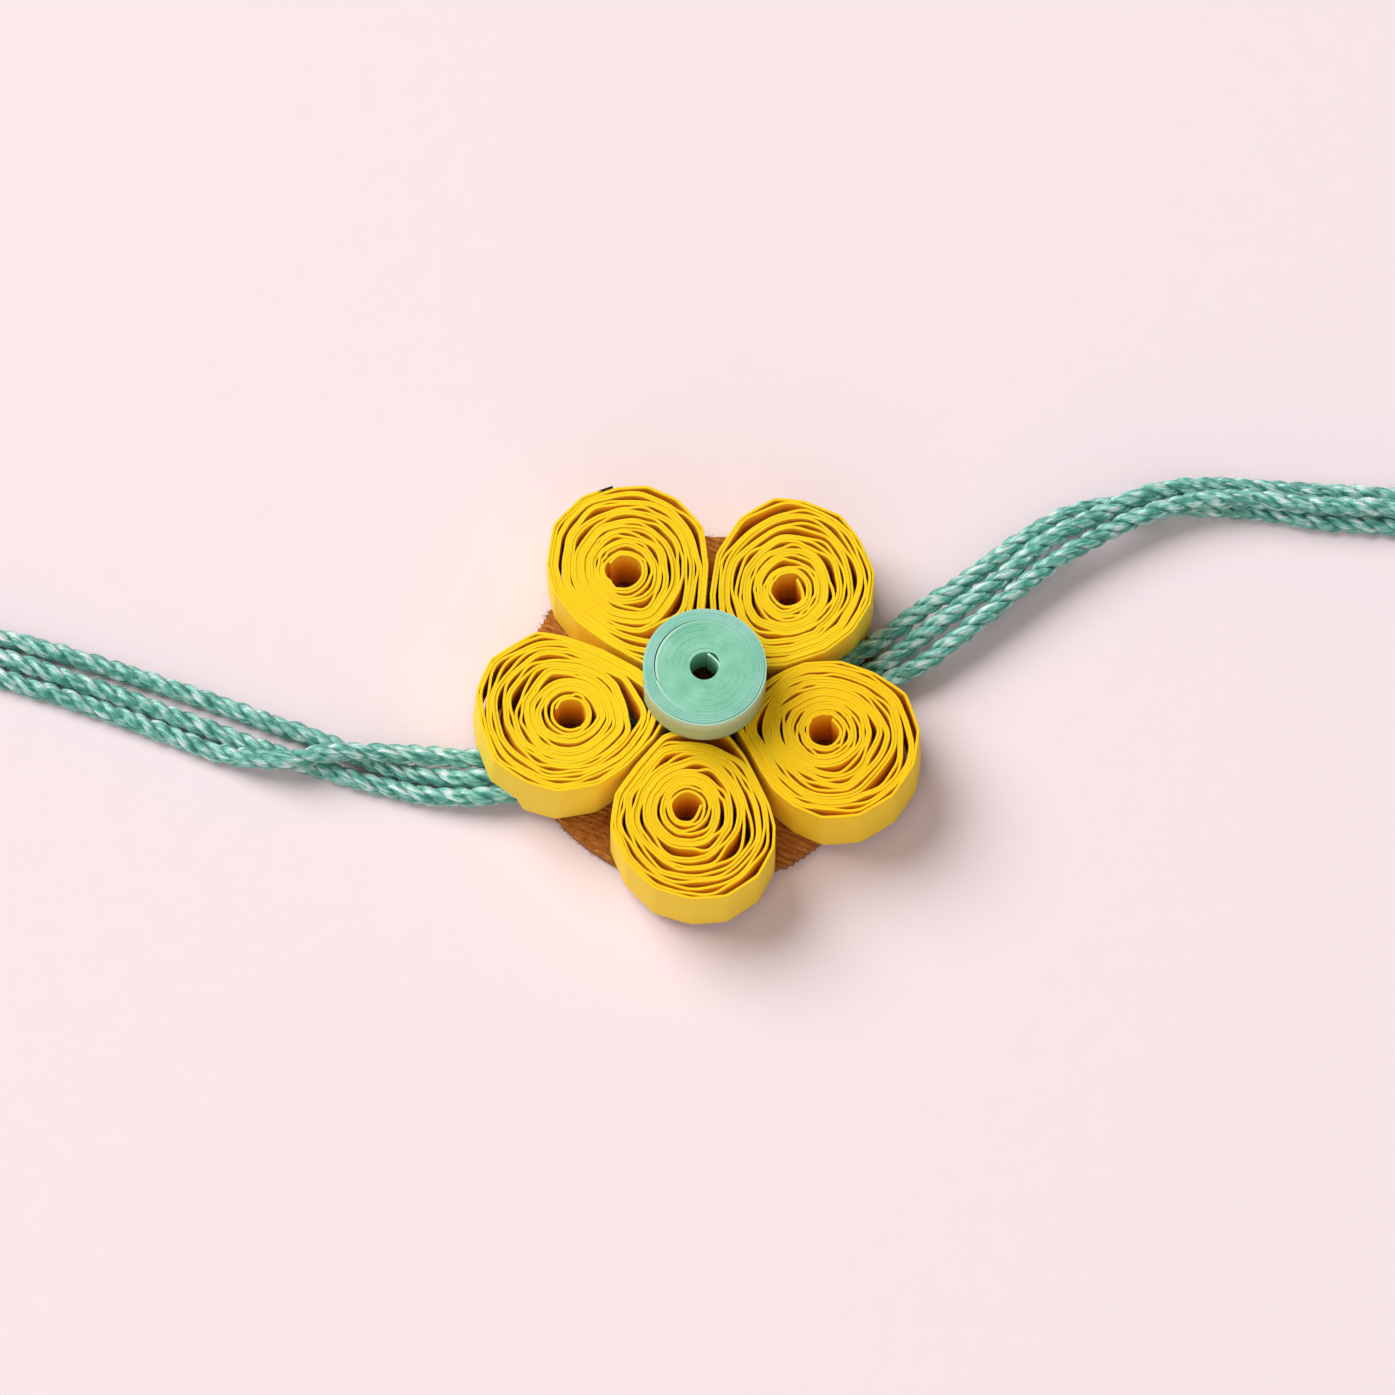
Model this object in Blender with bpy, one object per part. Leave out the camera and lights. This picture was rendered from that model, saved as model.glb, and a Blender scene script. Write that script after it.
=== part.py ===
"""Quilled paper flower on a round cloth base disc.

Five loosely rolled paper coils stand edge up in a ring, a smaller tight coil
sits on their inner rims, and three twisted threads run between the disc and
the coils and out to both sides, where they are wound up and knotted.

The origin is the centre of the disc's underside. +Z is up, out of the flower's
face. All the named sizes are in millimetres.
"""

import math

import bmesh
import bpy
from mathutils import Vector

MM = 0.001

# Base disc
DISC_RADIUS = 13.2
DISC_THICK = 0.9
DISC_EDGE = 0.12

# Clearance between pieces that touch
GAP = 0.3

# Petal coils, rolled from a strip this wide
PETAL_HEIGHT = 5.0
PETAL_BOTTOM = DISC_THICK + GAP
PETAL_TOP = PETAL_BOTTOM + PETAL_HEIGHT
PETAL_HOLE_RADIUS = 1.05
PETAL_INSET = 0.16
PETAL_SIDES = 60

# Centre coil and the strip wound round it
CENTRE_AT = (0.3, 0.0)
CENTRE_HEIGHT = 3.0
CENTRE_BOTTOM = PETAL_TOP + GAP
CENTRE_HOLE_RADIUS = 1.0
CENTRE_CORE_RADIUS = 3.5
CENTRE_WRAP_RADIUS = 4.42
CENTRE_SIDES = 64

# Threads
STRAND = 1.1
STRAND_STEP = 2.9
ON_DISC = 1.8
ON_FLOOR = 0.6
CHANNEL_HALF_WIDTH = 2.4
CHANNEL_ROOF = 2.75

# Wound ends of the threads
COIL_OUT = 8.2
COIL_PITCH = 2.8
BUNDLE_RADIUS = 0.8
RING_OUTER = 9.6
RING_INNER = 4.0
RING_HEIGHT = 2.9
RING_ROUND = 0.9
RING_SIDES = 56
KNOT_RADIUS = 1.55
KNOT_AXIS_Z = 1.6

# Each petal coil: the middle of its hole, the corners that its outermost turn
# is pressed into, and how far its lower edge spreads out from its inner end.
PETALS = {
    "petal_north_west": {
        "hole": (-5.4, 8.4),
        "corners": [
            (-5.9, 15.0), (-3.7, 14.9), (-1.6, 13.9), (0.2, 11.8), (0.6, 8.9),
            (0.4, 6.2), (0.1, 3.9), (-1.5, 1.5), (-3.5, 1.2), (-6.4, 2.8),
            (-8.7, 4.5), (-10.4, 6.8), (-10.9, 8.9), (-10.4, 12.0), (-8.4, 14.1),
        ],
        "spread": 0.0,
    },
    "petal_north_east": {
        "hole": (6.3, 6.9),
        "corners": [
            (5.3, 14.0), (7.4, 13.8), (10.0, 12.7), (11.4, 10.8), (12.4, 8.3),
            (12.1, 6.0), (10.9, 3.9), (8.9, 2.3), (6.0, 1.3), (3.4, 1.2), (1.6, 2.2),
            (0.9, 4.1), (0.7, 6.6), (1.2, 9.8), (2.9, 12.5),
        ],
        "spread": 0.01,
    },
    "petal_west": {
        "hole": (-9.15, -2.35),
        "corners": [
            (-11.7, 3.8), (-9.6, 3.5), (-6.9, 2.5), (-4.3, 1.0), (-2.6, -0.5),
            (-2.2, -2.2), (-3.2, -4.1), (-5.2, -6.3), (-7.2, -7.7), (-10.0, -8.2),
            (-12.3, -7.5), (-14.5, -5.9), (-15.5, -3.2), (-15.8, -0.6), (-14.8, 1.8),
        ],
        "spread": 0.03,
    },
    "petal_east": {
        "hole": (8.8, -3.7),
        "corners": [
            (7.4, 1.5), (10.0, 1.6), (12.4, 0.7), (14.6, -0.9), (15.5, -3.6),
            (15.1, -6.2), (13.6, -8.5), (11.2, -10.0), (8.6, -10.2), (6.6, -9.3),
            (5.2, -8.1), (4.3, -6.7), (3.4, -4.9), (2.6, -3.4), (2.5, -2.0),
            (3.4, -0.6), (5.0, 0.5),
        ],
        "spread": 0.02,
    },
    "petal_south": {
        "hole": (-0.9, -9.4),
        "corners": [
            (-0.6, -3.3), (1.0, -3.2), (2.1, -4.1), (3.15, -5.5), (4.05, -7.3),
            (4.9, -9.2), (5.3, -10.8), (5.2, -12.4), (4.1, -14.5), (1.9, -16.0),
            (-0.6, -16.3), (-3.2, -15.4), (-5.2, -13.4), (-6.3, -10.8), (-6.0, -8.4),
            (-4.5, -6.15), (-2.6, -3.95),
        ],
        "spread": 0.01,
    },
}

# Thread routes from under the flower's middle outwards: x, y and height of the
# thread's centre. They lie on the disc, come down to the floor, and cross.
ROUTES = {
    "left": {
        "top": [
            (-0.4, 0.8, ON_DISC), (-4.5, -0.75, ON_DISC), (-8.4, -2.2, ON_DISC),
            (-12.3, -3.5, ON_DISC), (-16.2, -4.1, 1.65), (-18.5, -3.95, 1.6),
            (-20.9, -3.8, 1.7), (-23.4, -3.8, 2.0), (-25.0, -3.75, 2.1),
            (-26.6, -3.9, 2.1), (-28.0, -4.2, 2.1), (-29.8, -4.3, 1.95),
            (-31.5, -4.05, 1.5), (-33.1, -3.7, 1.0), (-34.8, -3.2, 0.7),
            (-37.5, -2.1, ON_FLOOR), (-41.3, -0.6, ON_FLOOR),
            (-45.2, 0.8, ON_FLOOR), (-50.0, 2.4, ON_FLOOR),
        ],
        "mid": [
            (0.0, -0.6, ON_DISC), (-4.0, -2.1, ON_DISC), (-8.0, -3.6, ON_DISC),
            (-12.0, -4.85, ON_DISC), (-16.2, -5.5, 1.3), (-18.6, -5.25, 0.95),
            (-21.0, -4.8, 0.65), (-23.8, -3.85, ON_FLOOR),
            (-27.0, -2.4, ON_FLOOR), (-31.4, -0.8, ON_FLOOR),
            (-36.0, 0.95, ON_FLOOR), (-41.2, 2.75, ON_FLOOR),
            (-45.6, 4.15, ON_FLOOR), (-50.1, 5.4, ON_FLOOR),
        ],
        "low": [
            (0.4, -2.0, ON_DISC), (-3.5, -3.45, ON_DISC), (-7.6, -4.95, ON_DISC),
            (-11.7, -6.3, ON_DISC), (-14.4, -6.9, 1.6), (-16.9, -7.0, 1.15),
            (-19.3, -6.75, 0.75), (-21.6, -6.2, ON_FLOOR),
            (-24.6, -5.3, ON_FLOOR), (-28.5, -4.0, ON_FLOOR),
            (-32.2, -2.65, ON_FLOOR), (-37.1, -0.7, ON_FLOOR),
            (-41.5, 0.95, ON_FLOOR), (-45.8, 2.5, ON_FLOOR),
            (-50.0, 3.9, ON_FLOOR),
        ],
    },
    "right": {
        "top": [
            (-0.4, 0.8, ON_DISC), (4.1, 1.75, ON_DISC), (7.9, 2.4, ON_DISC),
            (9.7, 3.0, ON_DISC), (11.4, 3.95, ON_DISC), (13.6, 5.5, ON_DISC),
            (15.6, 7.1, 1.85), (17.8, 8.75, 1.95), (19.8, 10.4, 2.0),
            (21.7, 11.9, 1.95), (24.3, 13.7, 1.65), (26.9, 15.0, 1.15),
            (29.4, 15.5, 0.75), (32.4, 15.4, ON_FLOOR), (36.0, 15.4, ON_FLOOR),
            (40.3, 15.1, ON_FLOOR), (44.6, 14.4, ON_FLOOR),
            (50.0, 14.0, ON_FLOOR),
        ],
        "mid": [
            (0.0, -0.6, ON_DISC), (4.5, 0.3, ON_DISC), (8.5, 0.95, ON_DISC),
            (10.9, 1.7, ON_DISC), (12.8, 2.8, ON_DISC), (14.8, 4.25, 1.9),
            (16.7, 5.75, 2.05), (19.2, 7.9, 2.2), (21.7, 9.95, 2.35),
            (23.6, 11.7, 2.5), (25.9, 13.2, 2.6), (28.1, 14.4, 2.5),
            (30.1, 15.45, 2.3), (31.6, 16.15, 2.1), (33.6, 16.75, 1.75),
            (36.6, 17.15, 1.1), (39.6, 17.1, 0.7), (43.0, 16.75, ON_FLOOR),
            (50.0, 16.2, ON_FLOOR),
        ],
        "low": [
            (0.4, -2.0, ON_DISC), (4.9, -1.15, ON_DISC), (9.0, -0.5, ON_DISC),
            (11.6, 0.4, ON_DISC), (13.7, 1.8, ON_DISC), (15.6, 2.8, 1.85),
            (17.1, 3.9, 1.95), (20.0, 6.2, 2.15), (22.9, 8.5, 2.3),
            (25.8, 10.55, 2.3), (29.4, 12.6, 2.2), (32.0, 14.05, 2.1),
            (34.4, 14.9, 2.0), (37.3, 15.5, 1.95), (40.2, 15.5, 1.9),
            (44.5, 15.1, 1.85), (50.0, 14.9, 1.8),
        ],
    },
}

# Where the gathered bundle meets its coil, which way it heads there, the side
# that the coil lies on, and where each thread starts round the bundle.
COILS = {
    "left": {
        "at": (-60.7, 6.9), "heading": (-0.957, 0.290), "turn": 1.0,
        "start": {"top": 30.0, "low": 270.0, "mid": 150.0},
    },
    "right": {
        "at": (62.6, 13.6), "heading": (0.993, -0.115), "turn": -1.0,
        "start": {"mid": -30.0, "low": 90.0, "top": 210.0},
    },
}


def clear_scene():
    for ob in list(bpy.data.objects):
        bpy.data.objects.remove(ob, do_unlink=True)
    for mesh in list(bpy.data.meshes):
        bpy.data.meshes.remove(mesh)
    for curve in list(bpy.data.curves):
        bpy.data.curves.remove(curve)


def material(name, colour, roughness, metallic=0.0):
    mat = bpy.data.materials.new(name)
    mat.use_nodes = True
    bsdf = mat.node_tree.nodes["Principled BSDF"]
    bsdf.inputs["Base Color"].default_value = (*colour, 1.0)
    bsdf.inputs["Roughness"].default_value = roughness
    bsdf.inputs["Metallic"].default_value = metallic
    return mat


def catmull_rom(points, closed, per_span):
    """Points on a smooth curve through the given ones."""
    pts = [Vector(p) for p in points]
    n = len(pts)
    if not closed:
        pts = [2 * pts[0] - pts[1]] + pts + [2 * pts[-1] - pts[-2]]
    spans = n if closed else n - 1
    out = []
    for i in range(spans):
        if closed:
            a, b, c, d = (pts[(i + k) % n] for k in (-1, 0, 1, 2))
        else:
            a, b, c, d = pts[i], pts[i + 1], pts[i + 2], pts[i + 3]
        for k in range(per_span):
            t = k / per_span
            out.append(
                0.5 * (2 * b + (c - a) * t + (2 * a - 5 * b + 4 * c - d) * t * t
                       + (3 * b - a - 3 * c + d) * t ** 3))
    if not closed:
        out.append(pts[-2].copy())
    return out


def radius_by_angle(outline, centre, angle):
    """How far the outline lies from the centre in one direction."""
    direction = Vector((math.cos(angle), math.sin(angle)))
    best = 0.0
    for a, b in zip(outline, outline[1:] + outline[:1]):
        p, q = a - centre, b - centre
        edge = q - p
        cross = direction.x * edge.y - direction.y * edge.x
        if abs(cross) < 1e-12:
            continue
        along = (p.x * edge.y - p.y * edge.x) / cross
        share = (p.x * direction.y - p.y * direction.x) / cross
        if along > 0 and -1e-9 <= share <= 1 + 1e-9:
            best = max(best, along)
    return best


def new_object(name, mesh, mat):
    ob = bpy.data.objects.new(name, mesh)
    bpy.context.scene.collection.objects.link(ob)
    mesh.materials.append(mat)
    return ob


def finish_mesh(bm, name, mat, smooth_angle=35.0):
    bmesh.ops.recalc_face_normals(bm, faces=bm.faces[:])
    mesh = bpy.data.meshes.new(name)
    bm.to_mesh(mesh)
    bm.free()
    mesh.shade_smooth()
    mesh.set_sharp_from_angle(angle=math.radians(smooth_angle))
    return new_object(name, mesh, mat)


def ring_body(name, loops, mat, closed=True):
    """One closed body from loops of points, each joined to the next one."""
    bm = bmesh.new()
    rings = [[bm.verts.new(Vector(p) * MM) for p in loop] for loop in loops]
    pairs = list(zip(rings, rings[1:] + rings[:1])) if closed else list(zip(rings, rings[1:]))
    for lower, upper in pairs:
        count = len(lower)
        for i in range(count):
            j = (i + 1) % count
            bm.faces.new((lower[i], lower[j], upper[j], upper[i]))
    if not closed:
        bm.faces.new(rings[0])
        bm.faces.new(list(reversed(rings[-1])))
    return finish_mesh(bm, name, mat)


def circle(centre, radius, z, sides):
    return [
        (centre[0] + radius * math.cos(2 * math.pi * i / sides),
         centre[1] + radius * math.sin(2 * math.pi * i / sides), z)
        for i in range(sides)
    ]


def base_disc(mat):
    at = (0.0, 0.0)
    loops = [
        circle(at, DISC_RADIUS - DISC_EDGE, 0.0, 96),
        circle(at, DISC_RADIUS, DISC_EDGE, 96),
        circle(at, DISC_RADIUS, DISC_THICK - DISC_EDGE, 96),
        circle(at, DISC_RADIUS - DISC_EDGE, DISC_THICK, 96),
    ]
    return ring_body("base_disc", loops, mat, closed=False)


def petal(name, spec, mat):
    hole = Vector(spec["hole"])
    outline = catmull_rom(spec["corners"], True, 8)
    inner_end = min((p for p in outline), key=lambda p: p.length)
    low, high, hole_low, hole_high = [], [], [], []
    for i in range(PETAL_SIDES):
        angle = 2 * math.pi * i / PETAL_SIDES
        reach = radius_by_angle(outline, hole, angle) - PETAL_INSET
        direction = Vector((math.cos(angle), math.sin(angle)))
        top = hole + direction * reach
        foot = inner_end + (top - inner_end) * (1.0 + spec["spread"])
        rim = hole + direction * PETAL_HOLE_RADIUS
        low.append((foot.x, foot.y, PETAL_BOTTOM))
        high.append((top.x, top.y, PETAL_TOP))
        hole_low.append((rim.x, rim.y, PETAL_BOTTOM))
        hole_high.append((rim.x, rim.y, PETAL_TOP))
    return ring_body(name, [low, high, hole_high, hole_low], mat)


def thread_channel():
    """Cutter for the groove that the threads lie in under three of the petals."""
    left = catmull_rom([Vector(p) for p in ROUTES["left"]["mid"][:5]], False, 3)
    right = catmull_rom([Vector(p) for p in ROUTES["right"]["mid"][:7]], False, 3)
    line = list(reversed(left)) + right[1:]
    bm = bmesh.new()
    rings = []
    for i, p in enumerate(line):
        ahead = line[min(i + 1, len(line) - 1)] - line[max(i - 1, 0)]
        side = Vector((-ahead.y, ahead.x, 0.0)).normalized() * CHANNEL_HALF_WIDTH
        flat = Vector((p.x, p.y, 0.0))
        rings.append([
            bm.verts.new((flat + side + Vector((0, 0, z))) * MM) for z in (0.5, CHANNEL_ROOF)
        ] + [
            bm.verts.new((flat - side + Vector((0, 0, z))) * MM) for z in (CHANNEL_ROOF, 0.5)
        ])
    for a, b in zip(rings, rings[1:]):
        for i in range(4):
            j = (i + 1) % 4
            bm.faces.new((a[i], a[j], b[j], b[i]))
    bm.faces.new(rings[0])
    bm.faces.new(list(reversed(rings[-1])))
    bmesh.ops.recalc_face_normals(bm, faces=bm.faces[:])
    mesh = bpy.data.meshes.new("thread_channel_cutter")
    bm.to_mesh(mesh)
    bm.free()
    ob = bpy.data.objects.new("thread_channel_cutter", mesh)
    bpy.context.scene.collection.objects.link(ob)
    ob.display_type = "WIRE"
    ob.hide_render = True
    return ob


def cut(ob, cutter):
    mod = ob.modifiers.new("thread_channel", "BOOLEAN")
    mod.operation = "DIFFERENCE"
    mod.solver = "EXACT"
    mod.object = cutter


def centre_coil(mat):
    top = CENTRE_BOTTOM + CENTRE_HEIGHT
    loops = [
        circle(CENTRE_AT, CENTRE_HOLE_RADIUS, CENTRE_BOTTOM, CENTRE_SIDES),
        circle(CENTRE_AT, CENTRE_CORE_RADIUS, CENTRE_BOTTOM, CENTRE_SIDES),
        circle(CENTRE_AT, CENTRE_CORE_RADIUS, top, CENTRE_SIDES),
        circle(CENTRE_AT, CENTRE_HOLE_RADIUS, top, CENTRE_SIDES),
    ]
    return ring_body("centre_coil", loops, mat)


def centre_wrap(mat):
    top = CENTRE_BOTTOM + CENTRE_HEIGHT
    inner = CENTRE_CORE_RADIUS + GAP
    loops = [
        circle(CENTRE_AT, inner, CENTRE_BOTTOM, CENTRE_SIDES),
        circle(CENTRE_AT, CENTRE_WRAP_RADIUS, CENTRE_BOTTOM, CENTRE_SIDES),
        circle(CENTRE_AT, CENTRE_WRAP_RADIUS, top - 0.1, CENTRE_SIDES),
        circle(CENTRE_AT, CENTRE_WRAP_RADIUS - 0.12, top, CENTRE_SIDES),
        circle(CENTRE_AT, inner, top, CENTRE_SIDES),
    ]
    return ring_body("centre_outer_wrap", loops, mat)


def bundle_frame(side):
    """The coil's centre, and the unit vectors at the point where it starts."""
    spec = COILS[side]
    at = Vector(spec["at"])
    ahead = Vector(spec["heading"]).normalized()
    inward = Vector((-ahead.y, ahead.x)) * spec["turn"]
    return at, ahead, inward, at + inward * COIL_OUT


def gathered(side, strand, back):
    """A thread's place in the gathered bundle, `back` millimetres before the coil."""
    spec = COILS[side]
    at, ahead, inward, _ = bundle_frame(side)
    left_of_way = Vector((-ahead.y, ahead.x))
    angle = math.radians(spec["start"][strand])
    flat = at - ahead * back + left_of_way * (BUNDLE_RADIUS * math.cos(angle))
    height = ON_FLOOR + BUNDLE_RADIUS * (1.0 + math.sin(angle))
    return (flat.x, flat.y, height)


def strand_line(side, strand):
    """The thread's smooth centreline from the flower to its coil's outer face."""
    points = list(ROUTES[side][strand])
    points += [gathered(side, strand, back) for back in (5.0, 2.5, 0.0)]
    line = catmull_rom(points, False, 12)
    centre = bundle_frame(side)[3]
    stop = RING_OUTER + STRAND / 2 + 0.45
    kept = []
    for p in line:
        if (Vector((p.x, p.y)) - centre).length < stop:
            break
        kept.append(p)
    return kept


def even(line, step):
    """The same line with its points a fixed distance apart."""
    lengths = [0.0]
    for a, b in zip(line, line[1:]):
        lengths.append(lengths[-1] + (b - a).length)
    count = max(2, round(lengths[-1] / step) + 1)
    out, k = [], 0
    for i in range(count):
        want = lengths[-1] * i / (count - 1)
        while k < len(lengths) - 2 and lengths[k + 1] < want:
            k += 1
        share = (want - lengths[k]) / max(lengths[k + 1] - lengths[k], 1e-9)
        out.append(line[k].lerp(line[k + 1], share))
    return out


def strand(side, which, mat):
    line = even(strand_line(side, which), STRAND_STEP)
    ahead = (line[1] - line[0]).normalized()
    line[0] = line[0] + ahead * (GAP / 2)
    curve = bpy.data.curves.new(f"{side}_strand_{which}", "CURVE")
    curve.dimensions = "3D"
    curve.bevel_depth = STRAND / 2 * MM
    curve.bevel_resolution = 2
    curve.use_fill_caps = True
    spline = curve.splines.new("POLY")
    spline.points.add(len(line) - 1)
    for point, p in zip(spline.points, line):
        point.co = (p.x * MM, p.y * MM, p.z * MM, 1.0)
    ob = bpy.data.objects.new(f"{side}_strand_{which}", curve)
    bpy.context.scene.collection.objects.link(ob)
    curve.materials.append(mat)
    return ob


def ring_profile():
    """Rounded section of a wound coil: radius and height."""
    corners = [
        (RING_OUTER - RING_ROUND, RING_ROUND, -90.0),
        (RING_OUTER - RING_ROUND, RING_HEIGHT - RING_ROUND, 0.0),
        (RING_INNER + RING_ROUND, RING_HEIGHT - RING_ROUND, 90.0),
        (RING_INNER + RING_ROUND, RING_ROUND, 180.0),
    ]
    out = []
    for radius, height, start in corners:
        for k in range(4):
            angle = math.radians(start + 30.0 * k)
            out.append((radius + RING_ROUND * math.cos(angle), height + RING_ROUND * math.sin(angle)))
    return out


def thread_coil(side, mat):
    centre = bundle_frame(side)[3]
    loops = [circle(centre, radius, height, RING_SIDES) for radius, height in ring_profile()]
    return ring_body(f"{side}_thread_coil", loops, mat)


def end_knot(side, mat):
    """The knot in the middle of the coil and the short cut ends beyond it."""
    _, ahead, inward, centre = bundle_frame(side)
    axis = Vector((inward.x, inward.y, 0.0))
    across = Vector((0.0, 0.0, 1.0)).cross(axis)
    up = Vector((0.0, 0.0, 1.0))
    start = Vector((centre.x, centre.y, KNOT_AXIS_Z)) - axis * 1.9
    profile = [(0.0, 0.45), (0.25, 0.95), (0.8, 1.4), (1.5, KNOT_RADIUS), (2.2, 1.4),
               (2.8, 0.95), (3.2, 0.75), (4.2, 0.9), (5.2, 1.0)]
    loops = []
    for along, radius in profile:
        loops.append([
            tuple(start + axis * along
                  + across * (radius * math.cos(2 * math.pi * i / 20))
                  + up * (radius * math.sin(2 * math.pi * i / 20)))
            for i in range(20)
        ])
    return ring_body(f"{side}_end_knot", loops, mat, closed=False)


def main():
    clear_scene()
    cloth = material("brown_cloth", (0.25, 0.10, 0.03), 0.9)
    yellow = material("yellow_paper", (0.93, 0.60, 0.02), 0.75)
    teal = material("teal_paper", (0.25, 0.60, 0.42), 0.7)
    teal_wrap = material("pale_teal_paper", (0.27, 0.62, 0.50), 0.7)
    thread = material("teal_thread", (0.10, 0.36, 0.27), 0.55)

    base_disc(cloth)
    cutter = thread_channel()
    for name, spec in PETALS.items():
        ob = petal(name, spec, yellow)
        if name in ("petal_west", "petal_east", "petal_north_east"):
            cut(ob, cutter)
    centre_coil(teal)
    centre_wrap(teal_wrap)
    for side in ("left", "right"):
        for which in ("top", "mid", "low"):
            strand(side, which, thread)
        thread_coil(side, thread)
        end_knot(side, thread)


main()
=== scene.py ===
"""Looks of the quilled paper flower: real spiral turns of paper strip, a ribbed
cloth disc and three-ply twisted threads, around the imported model."""

import math

import bmesh
import bpy
import numpy as np
from mathutils import Matrix, Vector


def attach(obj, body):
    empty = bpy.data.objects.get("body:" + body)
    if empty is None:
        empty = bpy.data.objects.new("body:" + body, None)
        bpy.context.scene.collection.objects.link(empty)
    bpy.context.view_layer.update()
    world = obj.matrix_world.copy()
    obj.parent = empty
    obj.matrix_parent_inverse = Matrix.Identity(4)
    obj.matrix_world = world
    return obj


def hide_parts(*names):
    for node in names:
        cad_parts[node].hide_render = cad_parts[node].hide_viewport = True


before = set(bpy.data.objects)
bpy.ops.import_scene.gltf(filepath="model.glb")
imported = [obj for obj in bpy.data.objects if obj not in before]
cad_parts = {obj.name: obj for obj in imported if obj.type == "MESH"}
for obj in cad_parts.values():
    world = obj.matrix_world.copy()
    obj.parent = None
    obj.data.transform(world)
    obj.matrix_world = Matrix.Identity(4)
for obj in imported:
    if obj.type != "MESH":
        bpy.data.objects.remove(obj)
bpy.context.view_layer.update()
MM = 0.001
TAU = 2.0 * math.pi
scene = bpy.context.scene

# ---------------------------------------------------------------- camera

ELEVATION = math.radians(70.0)
DISTANCE = 600.0
FOCAL_PIXELS = 8400.0
IMAGE_SIDE = 1395.0
AIM = Vector((-0.18, 1.10, 0.0))

back = Vector((0.0, -math.cos(ELEVATION), math.sin(ELEVATION)))
camera_data = bpy.data.cameras.new("camera")
camera_data.sensor_width = 36.0
camera_data.lens = FOCAL_PIXELS * 36.0 / IMAGE_SIDE
camera_data.clip_start = 0.05
camera_data.clip_end = 20.0
camera = bpy.data.objects.new("camera", camera_data)
scene.collection.objects.link(camera)
camera.location = (AIM + back * DISTANCE) * MM
camera.rotation_mode = "QUATERNION"
camera.rotation_quaternion = (-back).to_track_quat("-Z", "Y")
scene.camera = camera

# ---------------------------------------------------------------- numbers

DISC_RADIUS = 13.2
DISC_TOP = 0.9
PETAL_FOOT = 1.0
PETAL_TOP = 6.2
CHANNEL_ROOF = 2.5
ON_DISC = 1.8
ON_FLOOR = 0.6

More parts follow.
